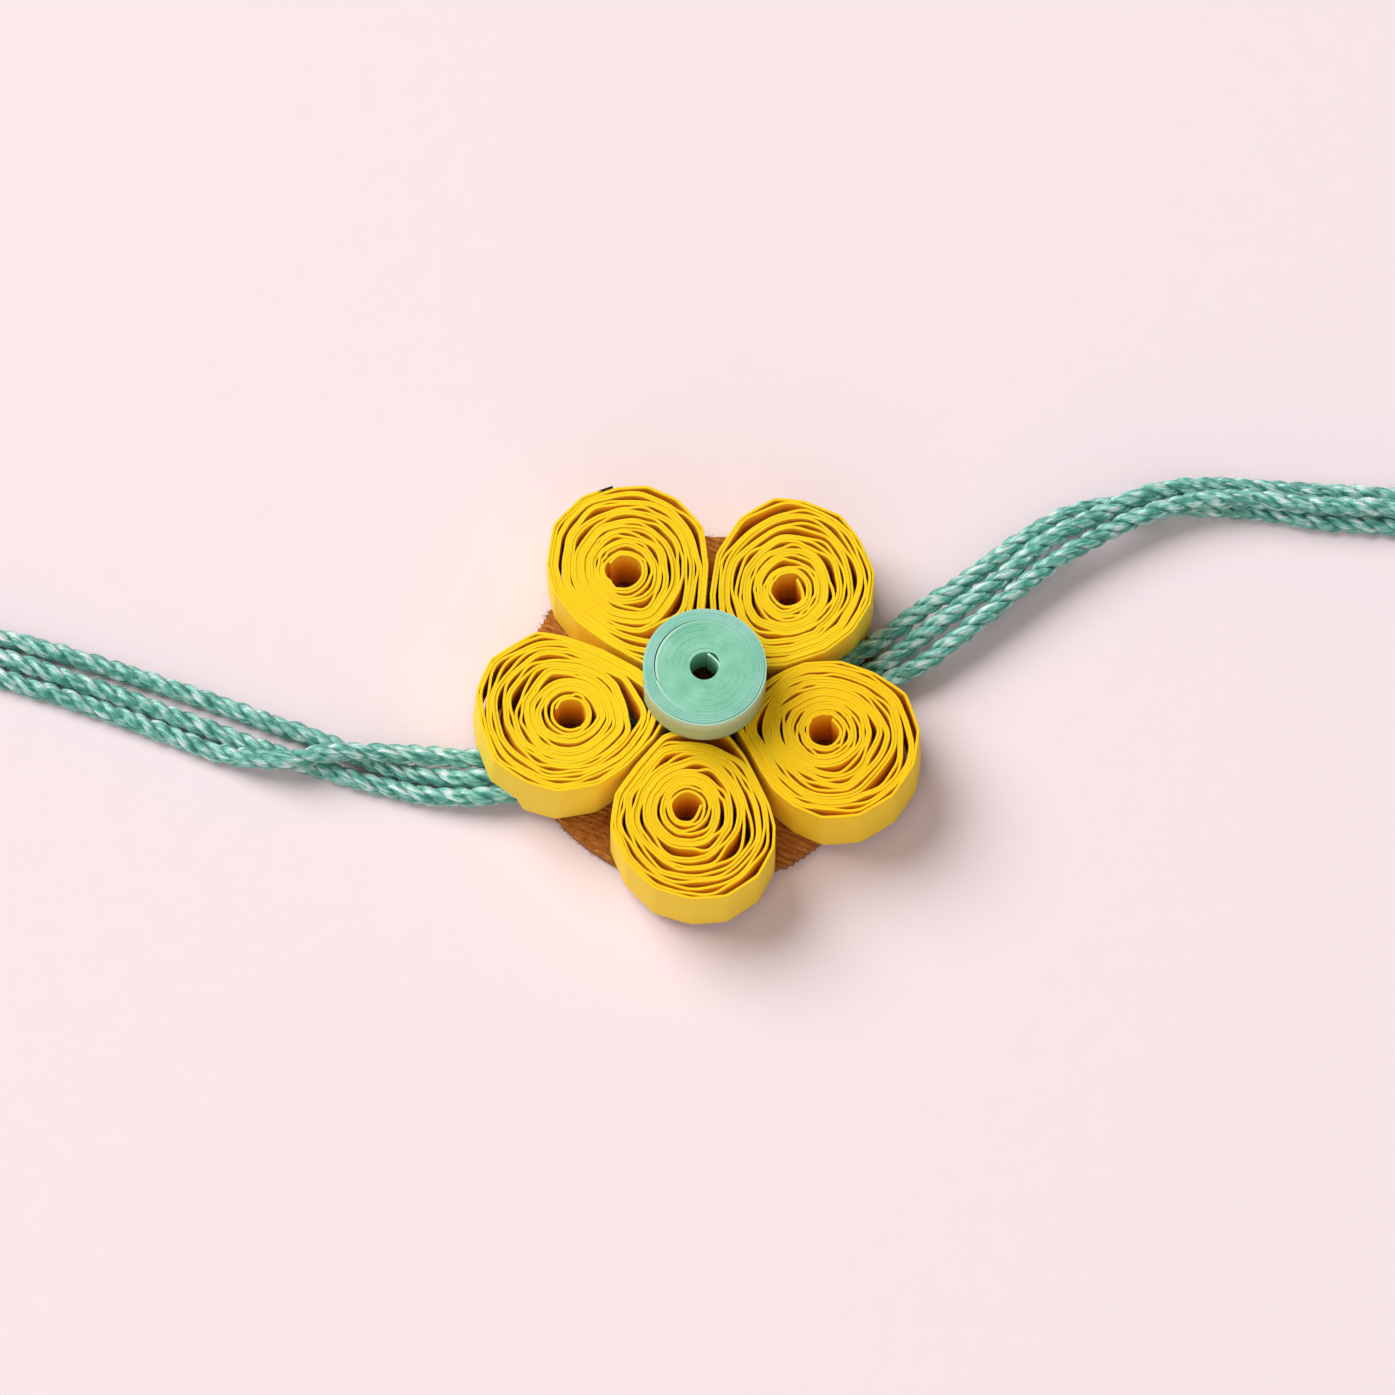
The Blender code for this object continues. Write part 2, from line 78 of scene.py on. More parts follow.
ROUTES = {
    "left": {
        "top": [
            (-0.4, 0.8, ON_DISC), (-4.5, -1.0, ON_DISC), (-8.4, -2.7, ON_DISC),
            (-12.3, -3.8, ON_DISC), (-16.2, -4.1, 1.65), (-18.5, -3.95, 1.6),
            (-20.9, -3.8, 1.7), (-23.4, -3.8, 2.0), (-25.0, -3.75, 2.1),
            (-26.6, -3.9, 2.1), (-28.0, -4.2, 2.1), (-29.8, -4.3, 1.95),
            (-31.5, -4.05, 1.5), (-33.1, -3.7, 1.0), (-34.8, -3.2, 0.7),
            (-37.5, -2.1, ON_FLOOR), (-41.3, -0.6, ON_FLOOR),
            (-45.2, 0.8, ON_FLOOR), (-50.0, 2.4, ON_FLOOR),
        ],
        "mid": [
            (0.0, -0.6, ON_DISC), (-4.0, -2.3, ON_DISC), (-8.0, -3.95, ON_DISC),
            (-12.0, -5.0, ON_DISC), (-16.2, -5.5, 1.3), (-18.6, -5.25, 0.95),
            (-21.0, -4.8, 0.65), (-23.8, -3.85, ON_FLOOR),
            (-27.0, -2.4, ON_FLOOR), (-31.4, -0.8, ON_FLOOR),
            (-36.0, 0.95, ON_FLOOR), (-41.2, 2.75, ON_FLOOR),
            (-45.6, 4.15, ON_FLOOR), (-50.1, 5.4, ON_FLOOR),
        ],
        "low": [
            (0.4, -2.0, ON_DISC), (-3.5, -3.45, ON_DISC), (-7.6, -4.95, ON_DISC),
            (-11.7, -6.3, ON_DISC), (-14.4, -6.85, 1.6), (-16.9, -6.85, 1.15),
            (-19.3, -6.6, 0.75), (-21.6, -6.1, ON_FLOOR),
            (-24.6, -5.3, ON_FLOOR), (-28.5, -4.0, ON_FLOOR),
            (-32.2, -2.65, ON_FLOOR), (-37.1, -0.7, ON_FLOOR),
            (-41.5, 0.95, ON_FLOOR), (-45.8, 2.5, ON_FLOOR),
            (-50.0, 3.9, ON_FLOOR),
        ],
    },
    "right": {
        "top": [
            (-0.4, 0.8, ON_DISC), (4.1, 1.75, ON_DISC), (7.9, 2.4, ON_DISC),
            (9.7, 2.95, ON_DISC), (11.5, 3.85, ON_DISC), (13.7, 5.4, ON_DISC),
            (15.7, 7.0, 1.85), (18.0, 8.5, 1.95), (20.1, 10.05, 2.0),
            (22.0, 11.55, 1.95), (24.45, 13.35, 1.65), (26.95, 14.8, 1.15),
            (29.4, 15.5, 0.75), (32.4, 15.4, ON_FLOOR), (36.0, 15.4, ON_FLOOR),
            (40.3, 15.1, ON_FLOOR), (44.6, 14.4, ON_FLOOR),
            (50.0, 14.0, ON_FLOOR),
        ],
        "mid": [
            (0.0, -0.6, ON_DISC), (4.5, 0.3, ON_DISC), (8.5, 0.95, ON_DISC),
            (10.9, 1.7, ON_DISC), (12.8, 2.8, ON_DISC), (14.8, 4.25, 1.9),
            (16.7, 5.75, 2.05), (19.35, 7.7, 2.2), (21.95, 9.65, 2.35),
            (23.85, 11.4, 2.5), (26.1, 12.85, 2.6), (28.3, 13.95, 2.5),
            (30.15, 15.0, 2.3), (31.6, 15.7, 2.1), (33.6, 16.35, 1.75),
            (36.6, 16.85, 1.1), (39.6, 16.9, 0.7), (43.0, 16.65, ON_FLOOR),
            (50.0, 16.2, ON_FLOOR),
        ],
        "low": [
            (0.4, -2.0, ON_DISC), (4.9, -1.15, ON_DISC), (9.0, -0.5, ON_DISC),
            (11.6, 0.4, ON_DISC), (13.7, 1.8, ON_DISC), (15.6, 2.8, 1.85),
            (17.1, 3.9, 1.95), (20.0, 6.2, 2.15), (22.85, 8.6, 2.3),
            (25.7, 10.85, 2.3), (29.2, 12.95, 2.2), (32.0, 14.3, 2.1),
            (34.4, 15.1, 2.0), (37.3, 15.6, 1.95), (40.2, 15.55, 1.9),
            (44.5, 15.1, 1.85), (50.0, 14.9, 1.8),
        ],
    },
}

COILS = {
    "left": {
        "at": (-60.7, 6.9), "heading": (-0.957, 0.290), "turn": 1.0,
        "start": {"top": 30.0, "low": 270.0, "mid": 150.0},
    },
    "right": {
        "at": (62.6, 13.6), "heading": (0.993, -0.115), "turn": -1.0,
        "start": {"mid": -30.0, "low": 90.0, "top": 210.0},
    },
}
COIL_OUT = 8.2
COIL_PITCH = 2.8
BUNDLE_RADIUS = 0.8
BUNDLE_TWIST = 26.0
KNOT_AXIS_Z = 1.6


# ---------------------------------------------------------------- helpers

def catmull(points, per_span=16, closed=False):
    pts = np.array(points, float)
    n = len(pts)
    if closed:
        idx = [(i - 1, i, i + 1, i + 2) for i in range(n)]
        get = lambda i: pts[i % n]
    else:
        ext = np.vstack([2 * pts[0] - pts[1], pts, 2 * pts[-1] - pts[-2]])
        idx = [(i, i + 1, i + 2, i + 3) for i in range(n - 1)]
        get = lambda i: ext[i]
    t = (np.arange(per_span) / per_span)[:, None]
    out = []
    for q in idx:
        a, b, c, d = (get(i) for i in q)
        out.append(0.5 * (2 * b + (c - a) * t + (2 * a - 5 * b + 4 * c - d) * t ** 2
                          + (3 * b - a - 3 * c + d) * t ** 3))
    out = np.vstack(out)
    if not closed:
        out = np.vstack([out, pts[-1]])
    return out


def arc_lengths(line):
    return np.concatenate([[0.0], np.cumsum(np.linalg.norm(np.diff(line, axis=0), axis=1))])


def resample(line, step):
    s = arc_lengths(line)
    count = max(3, int(round(s[-1] / step)) + 1)
    want = np.linspace(0, s[-1], count)
    return np.column_stack([np.interp(want, s, line[:, k]) for k in range(line.shape[1])]), want


def smooth_noise(rng, x, period, octaves=2):
    """Smooth seeded noise of one variable, about -1 to 1."""
    out = np.zeros_like(x)
    gain, total = 1.0, 0.0
    for _ in range(octaves):
        lo = math.floor(x.min() / period) - 2
        hi = math.ceil(x.max() / period) + 3
        knots = rng.uniform(-1, 1, hi - lo + 1)
        p = x / period - lo
        i = np.clip(np.floor(p).astype(int), 1, len(knots) - 3)
        f = p - i
        f = f * f * (3 - 2 * f)
        out += gain * (knots[i] * (1 - f) + knots[i + 1] * f)
        total += gain
        gain *= 0.5
        period *= 0.45
    return out / total


def fourier(rng, theta, low, high, fall=1.0):
    out = np.zeros_like(theta)
    for m in range(low, high + 1):
        a, b = rng.normal(0, 1, 2) / (m ** fall)
        out += a * np.cos(m * theta) + b * np.sin(m * theta)
    return out


def new_mesh(name, verts_mm, faces, smooth=True, sharp=40.0):
    mesh = bpy.data.meshes.new(name)
    mesh.from_pydata((np.asarray(verts_mm, float) * MM).tolist(), [], faces)
    mesh.update()
    if smooth:
        mesh.shade_smooth()
        if sharp:
            mesh.set_sharp_from_angle(angle=math.radians(sharp))
    ob = bpy.data.objects.new(name, mesh)
    scene.collection.objects.link(ob)
    return ob


def grid_faces(rings, around, offset=0, wrap=True):
    i = np.arange(rings - 1)[:, None]
    j = np.arange(around if wrap else around - 1)[None, :]
    k = (j + 1) % around
    a = offset + i * around + j
    b = offset + i * around + k
    c = offset + (i + 1) * around + k
    d = offset + (i + 1) * around + j
    return np.stack([a, b, c, d], axis=-1).reshape(-1, 4).tolist()


def set_uv(ob, per_vertex_uv):
    mesh = ob.data
    layer = mesh.uv_layers.new(name="UVMap")
    idx = np.zeros(len(mesh.loops), int)
    mesh.loops.foreach_get("vertex_index", idx)
    layer.data.foreach_set("uv", np.asarray(per_vertex_uv, np.float32)[idx].ravel())


def set_attribute(ob, name, values):
    att = ob.data.attributes.new(name, "FLOAT", "POINT")
    att.data.foreach_set("value", np.asarray(values, np.float32))


# ---------------------------------------------------------------- materials

class Nodes:
    """Small helper for making node trees."""

    def __init__(self, name):
        self.mat = bpy.data.materials.new(name)
        self.mat.use_nodes = True
        self.tree = self.mat.node_tree
        self.bsdf = self.tree.nodes["Principled BSDF"]

    def add(self, kind, **settings):
        node = self.tree.nodes.new(kind)
        for key, value in settings.items():
            if key in node.inputs:
                node.inputs[key].default_value = value
            else:
                setattr(node, key, value)
        return node

    def link(self, a, b):
        self.tree.links.new(a, b)

    def coords(self, kind="Object", scale=(1000.0, 1000.0, 1000.0), rotation=(0, 0, 0)):
        tex = self.add("ShaderNodeTexCoord")
        mapping = self.add("ShaderNodeMapping")
        mapping.inputs["Scale"].default_value = scale
        mapping.inputs["Rotation"].default_value = rotation
        self.link(tex.outputs[kind], mapping.inputs["Vector"])
        return mapping.outputs["Vector"]

    def noise(self, vector, scale, detail=3.0, rough=0.55):
        node = self.add("ShaderNodeTexNoise")
        node.inputs["Scale"].default_value = scale
        node.inputs["Detail"].default_value = detail
        node.inputs["Roughness"].default_value = rough
        self.link(vector, node.inputs["Vector"])
        return node.outputs["Fac"]

    def ramp(self, fac, stops):
        node = self.add("ShaderNodeValToRGB")
        ramp = node.color_ramp
        while len(ramp.elements) < len(stops):
            ramp.elements.new(0.5)
        for el, (pos, col) in zip(ramp.elements, stops):
            el.position = pos
            el.color = (*col, 1.0)
        self.link(fac, node.inputs["Fac"])
        return node.outputs["Color"]

    def mix(self, fac, a, b, blend="MIX"):
        node = self.add("ShaderNodeMix", data_type="RGBA", blend_type=blend)
        for sock, value in ((node.inputs[0], fac), (node.inputs[6], a), (node.inputs[7], b)):
            if isinstance(value, (int, float)):
                sock.default_value = value
            elif isinstance(value, tuple):
                sock.default_value = (*value, 1.0)
            else:
                self.link(value, sock)
        return node.outputs[2]

    def math(self, op, a, b=None):
        node = self.add("ShaderNodeMath", operation=op)
        for sock, value in ((node.inputs[0], a), (node.inputs[1], b)):
            if value is None:
                continue
            if isinstance(value, (int, float)):
                sock.default_value = value
            else:
                self.link(value, sock)
        return node.outputs[0]

    def bump(self, height, strength, distance, normal=None):
        node = self.add("ShaderNodeBump")
        node.inputs["Strength"].default_value = strength
        node.inputs["Distance"].default_value = distance
        self.link(height, node.inputs["Height"])
        if normal is not None:
            self.link(normal, node.inputs["Normal"])
        return node.outputs["Normal"]

    def attribute(self, name):
        node = self.add("ShaderNodeAttribute")
        node.attribute_name = name
        return node.outputs["Fac"]


def srgb(r, g, b):
    def lin(c):
        c = c / 255.0
        return c / 12.92 if c <= 0.04045 else ((c + 0.055) / 1.055) ** 2.4
    return (lin(r), lin(g), lin(b))


def paper(name, body, edge, dark, rough=0.62, glow=0.0, end_dark=None, edge_dark=None, painted_highlight=None, patchy=1.6, warm=None):
    n = Nodes(name)
    v = n.coords()
    mottled = n.noise(v, 0.55, 3.0)
    fibre = n.noise(v, 9.0, 4.0, 0.6)
    base = n.mix(mottled, body, dark)
    base = n.mix(n.math("MULTIPLY", fibre, 0.22), base, edge)
    worn = n.math("MULTIPLY", n.math("ADD", mottled, n.math("MULTIPLY", fibre, 0.5)), 0.667 * patchy)
    worn = n.math("MINIMUM", n.math("MAXIMUM", n.math("SUBTRACT", worn, 0.5 * (patchy - 1.0)), 0.0), 1.0)
    top = n.mix(worn, edge, edge_dark)
    colour = n.mix(n.attribute("cut_edge"), base, top)
    # painted highlight: paler colour wherever the painted_highlight attribute is set
    if painted_highlight:
        colour = n.mix(n.attribute("painted_highlight"), colour, painted_highlight)
    if warm:
        colour = n.mix(n.math("MULTIPLY", n.attribute("warm"), 0.6), colour, warm)
        # painted glow: strip faces inside the coil, between turns, are painted orange in place of light bounced and
        # scattered in the gaps
        inner = n.math("MULTIPLY", n.attribute("painted_gap_glow"), 0.75)
        colour = n.mix(inner, colour, srgb(255, 168, 24))
    # the last bit of the outermost strip is painted dark
    if end_dark:
        end_dark_mask =n.math("MULTIPLY", n.attribute("end_darkening"), n.math("ADD", n.math("MULTIPLY", fibre, 0.8), 0.7))
        colour = n.mix(n.math("MINIMUM", end_dark_mask, 1.0), colour, end_dark)
    n.link(colour, n.bsdf.inputs["Base Color"])
    rough_out = n.math("ADD", n.math("MULTIPLY", fibre, 0.18), rough - 0.08)
    n.link(rough_out, n.bsdf.inputs["Roughness"])
    n.bsdf.inputs["Specular IOR Level"].default_value = 0.2
    if glow:
        n.bsdf.inputs["Subsurface Weight"].default_value = glow
        n.bsdf.inputs["Subsurface Radius"].default_value = (1.0, 0.85, 0.3)
        n.bsdf.inputs["Subsurface Scale"].default_value = 0.0002
    n.link(n.bump(fibre, 0.35, 0.00002), n.bsdf.inputs["Normal"])
    return n.mat


def thread_material():
    n = Nodes("thread_cotton")
    uv = n.coords("UV", (13.0, 1.1, 1.0))
    fibre = n.noise(uv, 1.0, 3.0, 0.6)
    uv2 = n.coords("UV", (4.0, 0.9, 1.0))
    broad = n.noise(uv2, 1.0, 2.0, 0.5)
    obj = n.coords()
    patch = n.noise(obj, 0.5, 2.0)
    mixed = n.math("ADD", n.math("MULTIPLY", fibre, 0.45), n.math("MULTIPLY", broad, 0.55))
    # the near-white upper stops of this ramp paint glints on the thread, placed by the noise
    colour = n.ramp(mixed, [
        (0.39, srgb(42, 122, 108)), (0.47, srgb(88, 178, 162)),
        (0.54, srgb(160, 226, 214)), (0.61, srgb(248, 255, 253)),
    ])
    colour = n.mix(n.math("MULTIPLY", patch, 0.16), colour, srgb(100, 182, 166))
    # painted shade: darker teal in the crevices between plies and yarns, where unshaded_crown is low
    colour = n.mix(n.attribute("unshaded_crown"), srgb(40, 116, 98), colour)
    n.link(colour, n.bsdf.inputs["Base Color"])
    n.bsdf.inputs["Roughness"].default_value = 0.3
    n.bsdf.inputs["Specular IOR Level"].default_value = 0.7
    n.bsdf.inputs["Sheen Weight"].default_value = 0.3
    n.bsdf.inputs["Sheen Roughness"].default_value = 0.4
    n.link(n.bump(fibre, 0.9, 0.00014), n.bsdf.inputs["Normal"])
    return n.mat


def cloth_material():
    n = Nodes("base_cloth_ribbed")
    along = n.coords("Object", (1000.0, 1000.0, 1000.0), (0, 0, math.radians(22.0)))
    stretched = n.coords("UV", (1.0, 1.0, 1.0))
    weave = n.noise(stretched, 1.0, 3.0, 0.6)
    speck = n.noise(along, 7.0, 4.0, 0.65)
    broad = n.noise(along, 0.8, 2.0)
    mixed = n.math("ADD", n.math("MULTIPLY", weave, 0.6), n.math("MULTIPLY", speck, 0.4))
    colour = n.ramp(mixed, [
        (0.30, srgb(100, 54, 16)), (0.48, srgb(160, 98, 38)),
        (0.60, srgb(196, 130, 62)), (0.76, srgb(232, 184, 124)),
    ])
    colour = n.mix(n.math("MULTIPLY", broad, 0.35), colour, srgb(148, 88, 30))
    n.link(colour, n.bsdf.inputs["Base Color"])
    n.bsdf.inputs["Roughness"].default_value = 0.9
    n.bsdf.inputs["Specular IOR Level"].default_value = 0.15
    n.bsdf.inputs["Sheen Weight"].default_value = 0.06
    n.link(n.bump(mixed, 0.8, 0.00008), n.bsdf.inputs["Normal"])
    return n.mat


# the strip faces are painted paler and bluer than the cut top edges: a painted sheen on the walls
YELLOW = paper("petal_paper_yellow", srgb(255, 217, 78), srgb(255, 216, 14), srgb(254, 210, 62),
               glow=0.5, end_dark=srgb(34, 12, 16), edge_dark=srgb(254, 202, 6), warm=srgb(255, 196, 0))
TEAL = paper("centre_paper_teal", srgb(128, 192, 162), srgb(154, 214, 188), srgb(114, 180, 148),
             edge_dark=srgb(116, 188, 156), painted_highlight=srgb(196, 234, 216), patchy=3.2)
# the wrap's side faces are painted yellowish green, in place of yellow light bounced from the petals
TEAL_WRAP = paper("centre_wrap_teal", srgb(188, 200, 150), srgb(154, 210, 194), srgb(176, 192, 140),
                  edge_dark=srgb(124, 192, 168), painted_highlight=srgb(206, 224, 196), patchy=3.0)
THREAD = thread_material()
CLOTH = cloth_material()


# ---------------------------------------------------------------- threads

def bundle_frame(side):
    spec = COILS[side]
    at = np.array(spec["at"])
    ahead = np.array(spec["heading"]) / np.linalg.norm(spec["heading"])
    inward = np.array((-ahead[1], ahead[0])) * spec["turn"]
    return at, ahead, inward, at + inward * COIL_OUT


def bundle_line(side):
    """Centreline of the wound bundle from the coil's start to the knot: x, y, z."""
    at, ahead, inward, centre = bundle_frame(side)
    e0, e1 = -inward, ahead
    pts = []
    for k in range(0, 20):
        psi = TAU * k / 16.0
        r = COIL_OUT - COIL_PITCH * k / 16.0
        pts.append((psi, r, 1.4))
    hook = [(456, 4.42), (476, 4.02), (495, 3.5), (514, 2.9), (530, 2.35), (540, 1.75), (540, 1.1)]
    for deg, r in hook:
        pts.append((math.radians(deg), r, 1.4 + 0.2 * (deg - 432) / 108.0))
    out = []
    for psi, r, z in pts:
        p = centre + e0 * (r * math.cos(psi)) + e1 * (r * math.sin(psi))
        out.append((p[0], p[1], z))
    return catmull(out, 20)


def strand_centreline(side, which):
    spec = COILS[side]
    at, ahead, inward, centre = bundle_frame(side)
    left_of_way = np.array((-ahead[1], ahead[0]))
    start = math.radians(spec["start"][which])
    gathered = []
    for back_off in (5.0, 2.5):
        p = at - ahead * back_off + left_of_way * (BUNDLE_RADIUS * math.cos(start))
        gathered.append((p[0], p[1], ON_FLOOR + BUNDLE_RADIUS * (1 + math.sin(start))))
    wound = bundle_line(side)
    s = arc_lengths(wound)
    tangent = np.gradient(wound, axis=0)
    tangent /= np.linalg.norm(tangent, axis=1)[:, None]
    n = np.column_stack([-tangent[:, 1], tangent[:, 0], np.zeros(len(s))])
    n /= np.linalg.norm(n, axis=1)[:, None]
    phi = start + spec["turn"] * TAU * s / BUNDLE_TWIST
    close = np.clip((s[-1] - s) / 6.0, 0.0, 1.0)
    radius = BUNDLE_RADIUS * (0.62 + 0.38 * close)
    wound = wound + n * (radius * np.cos(phi))[:, None]
    wound[:, 2] += radius * np.sin(phi)
    keep = wound[::10]
    if not np.allclose(keep[-1], wound[-1]):
        keep = np.vstack([keep, wound[-1]])
    return catmull(list(ROUTES[side][which]) + gathered + [tuple(p) for p in keep], 14)


def frames_along(line):
    tangent = np.gradient(line, axis=0)
    tangent /= np.linalg.norm(tangent, axis=1)[:, None]
    side = np.cross(np.array([0.0, 0.0, 1.0]), tangent)
    side /= np.maximum(np.linalg.norm(side, axis=1), 1e-9)[:, None]
    up = np.cross(tangent, side)
    return tangent, side, up


def strand_mesh(name, line, seed, pitch=4.1, around=12, step=0.17):
    """Three plies twisted round each other, each with the ridges of its own yarns."""
    rng = np.random.default_rng(seed)
    centre, s = resample(line, step)
    _, side, up = frames_along(centre)
    verts, faces, uvs, unshaded_crown = [], [], [], []
    wander = smooth_noise(rng, s, 9.0) * 0.5
    twist = TAU * s / pitch + wander
    for ply in range(3):
        phi = twist + TAU * ply / 3.0 + 0.22 * smooth_noise(rng, s, 5.0)
        rho = 0.345 + 0.035 * smooth_noise(rng, s, 4.0)
        mid = centre + side * (rho * np.cos(phi))[:, None] + up * (rho * np.sin(phi))[:, None]
        _, ps, pu = frames_along(mid)
        alpha = np.arange(around) * TAU / around
        fat = 0.375 * (1 + 0.09 * smooth_noise(rng, s, 2.2))
        ring_angle = alpha[None, :] + phi[:, None] + math.pi
        # each ply is three yarns twisted the other way, so they lie along the thread on its outside
        yarn = 3.0 * (alpha[None, :] + 1.6 * TAU * s[:, None] / pitch)
        radius = fat[:, None] * (1 + 0.12 * np.cos(yarn))
        p = (mid[:, None, :]
             + ps[:, None, :] * (radius * np.cos(ring_angle))[..., None]
             + pu[:, None, :] * (radius * np.sin(ring_angle))[..., None])
        offset = sum(len(v) for v in verts)
        away = np.linalg.norm(p - centre[:, None, :], axis=-1)
        # painted shade mask: 1 on each ply's outer crown, falling to 0 in the crevices between plies and yarns
        unshaded_crown.append((np.clip((away - 0.36) / 0.24, 0, 1) * (0.78 + 0.22 * np.cos(yarn))).ravel())
        verts.append(p.reshape(-1, 3))
        faces += grid_faces(len(s), around, offset)
        faces.append([offset + i for i in range(around)][::-1])
        last = offset + (len(s) - 1) * around
        faces.append([last + i for i in range(around)])
        u = np.broadcast_to(alpha[None, :] / TAU, (len(s), around)) + s[:, None] * 1.6 / pitch
        v = np.broadcast_to(s[:, None], (len(s), around)) + 137.0 * ply
        uvs.append(np.stack([u, v], -1).reshape(-1, 2))
    verts = np.vstack(verts)
    verts[:, 2] = np.maximum(verts[:, 2], 0.015)
    ob = new_mesh(name, verts, faces, sharp=None)
    set_uv(ob, np.vstack(uvs))
    set_attribute(ob, "unshaded_crown", np.concatenate(unshaded_crown))
    ob.data.materials.append(THREAD)
    return ob, centre


def hairs(name, lines, count, seed, reach=0.75):
    """Short stray fibres that stand off the threads."""
    rng = np.random.default_rng(seed)
    verts, faces, uvs = [], [], []
    for k in range(count):
        line = lines[k % len(lines)]
        i = int(rng.integers(20, len(line) - 20))
        tangent = line[i + 1] - line[i - 1]
        tangent /= np.linalg.norm(tangent)
        side = np.cross([0, 0, 1.0], tangent)
        side /= np.linalg.norm(side)
        up = np.cross(tangent, side)
        a = rng.uniform(-0.2, math.pi + 0.2)
        out = side * math.cos(a) + up * math.sin(a)
        length = rng.uniform(0.5, 1.0) * reach
        lean = tangent * rng.uniform(-1.6, 1.6)
        bend = rng.normal(0, 0.35, 3)
        base = line[i] + out * 0.42
        pts = []
        for t in np.linspace(0, 1, 6):
            pts.append(base + (out * 0.55 + lean) * length * t + bend * length * t * t * 0.5)
        pts = np.array(pts)
        pts[:, 2] = np.maximum(pts[:, 2], 0.03)
        _, ps, pu = frames_along(pts)
        thick = 0.016 * np.linspace(1, 0.45, 6)
        ring = []
        for m in range(3):
            b = TAU * m / 3
            ring.append(pts + ps * (thick * math.cos(b))[:, None] + pu * (thick * math.sin(b))[:, None])
        p = np.stack(ring, 1).reshape(-1, 3)
        offset = sum(len(v) for v in verts)
        verts.append(p)
        faces += grid_faces(6, 3, offset)
        faces.append([offset + 2, offset + 1, offset])
        faces.append([offset + 15, offset + 16, offset + 17])
        uvs.append(np.column_stack([np.zeros(18), np.repeat(np.arange(6) * 0.2, 3)]))
    ob = new_mesh(name, np.vstack(verts), faces, sharp=None)
    set_uv(ob, np.vstack(uvs))
    # a flat value of the painted crevice shade for the stray fibres
    set_attribute(ob, "unshaded_crown", np.full(len(ob.data.vertices), 0.9))
    ob.data.materials.append(THREAD)
    return ob


def knot_piece(side, seed):
    """A tight overhand knot of the three threads, and their short frayed ends."""
    rng = np.random.default_rng(seed)
    _, ahead, inward, centre = bundle_frame(side)
    axis = np.array((-inward[0], -inward[1], 0.0))
    up = np.array((0.0, 0.0, 1.0))
    across = np.cross(up, axis)
    middle = np.array((centre[0], centre[1], KNOT_AXIS_Z)) - axis * 0.4
    verts, faces, uvs = [], [], []

    def tube(line, radius, around, lobes, twist):
        pts, s = resample(np.asarray(line), 0.12)
        _, ps, pu = frames_along(pts)
        alpha = np.arange(around) * TAU / around
        r = radius * (1 + 0.16 * np.cos(lobes * alpha[None, :] + TAU * s[:, None] / twist))
        taper = np.minimum(1.0, 0.25 + np.minimum(s, s[-1] - s) / 0.25)
        r = r * taper[:, None]
        p = (pts[:, None, :] + ps[:, None, :] * (r * np.cos(alpha))[..., None]
             + pu[:, None, :] * (r * np.sin(alpha))[..., None])
        offset = sum(len(v) for v in verts)
        verts.append(p.reshape(-1, 3))
        faces.extend(grid_faces(len(s), around, offset))
        faces.append([offset + i for i in range(around)][::-1])
        last = offset + (len(s) - 1) * around
        faces.append([last + i for i in range(around)])
        u = np.broadcast_to(alpha[None, :] / TAU, (len(s), around))
        v = np.broadcast_to(s[:, None], (len(s), around))
        uvs.append(np.stack([u, v], -1).reshape(-1, 2))

    def place(a, b, c):
        return middle + axis * a + across * b + up * c

    for k in range(3):
        line = []
        shift = TAU * k / 3
        for i in range(97):
            t = TAU * i / 96.0 + 0.4
            a = 0.36 * (math.sin(t) + 2.0 * math.sin(2 * t)) + 0.16 * math.cos(3 * t + shift)
            b = 0.36 * (math.cos(t) - 2.0 * math.cos(2 * t)) + 0.16 * math.sin(3 * t + shift)
            c = -0.62 * math.sin(3 * t) + 0.26 * math.sin(2 * t + shift)
            line.append(place(a, b, c))
        tube(line, 0.42, 12, 4, 1.5)
    for k in range(3):
        shift = TAU * k / 3 + 0.5
        root = place(0.9, 0.35 * math.cos(shift), 0.3 * math.sin(shift))
        for f in range(11):
            spread = rng.normal(0, 0.42, 2)
            length = rng.uniform(1.9, 2.7)
            line = []
            for t in np.linspace(0, 1, 9):
                droop = -1.1 * t * t
                line.append(root + axis * (length * t)
                            + across * ((spread[0] + 0.5 * math.cos(shift)) * t * 1.1
                                        + 0.12 * math.sin(5 * t + f))
                            + up * (spread[1] * t * 0.8 + droop))
            line = np.array(line)
            line[:, 2] = np.maximum(line[:, 2], 0.12)
            tube(line, 0.09, 6, 2, 1.0)
    verts = np.vstack(verts)
    verts[:, 2] = np.maximum(verts[:, 2], 0.015)
    ob = new_mesh(f"{side}_overhand_knot", verts, faces, sharp=None)
    set_uv(ob, np.vstack(uvs))
    # a flat value of the painted crevice shade for the knot
    set_attribute(ob, "unshaded_crown", np.full(len(verts), 0.8))
    ob.data.materials.append(THREAD)
    return ob


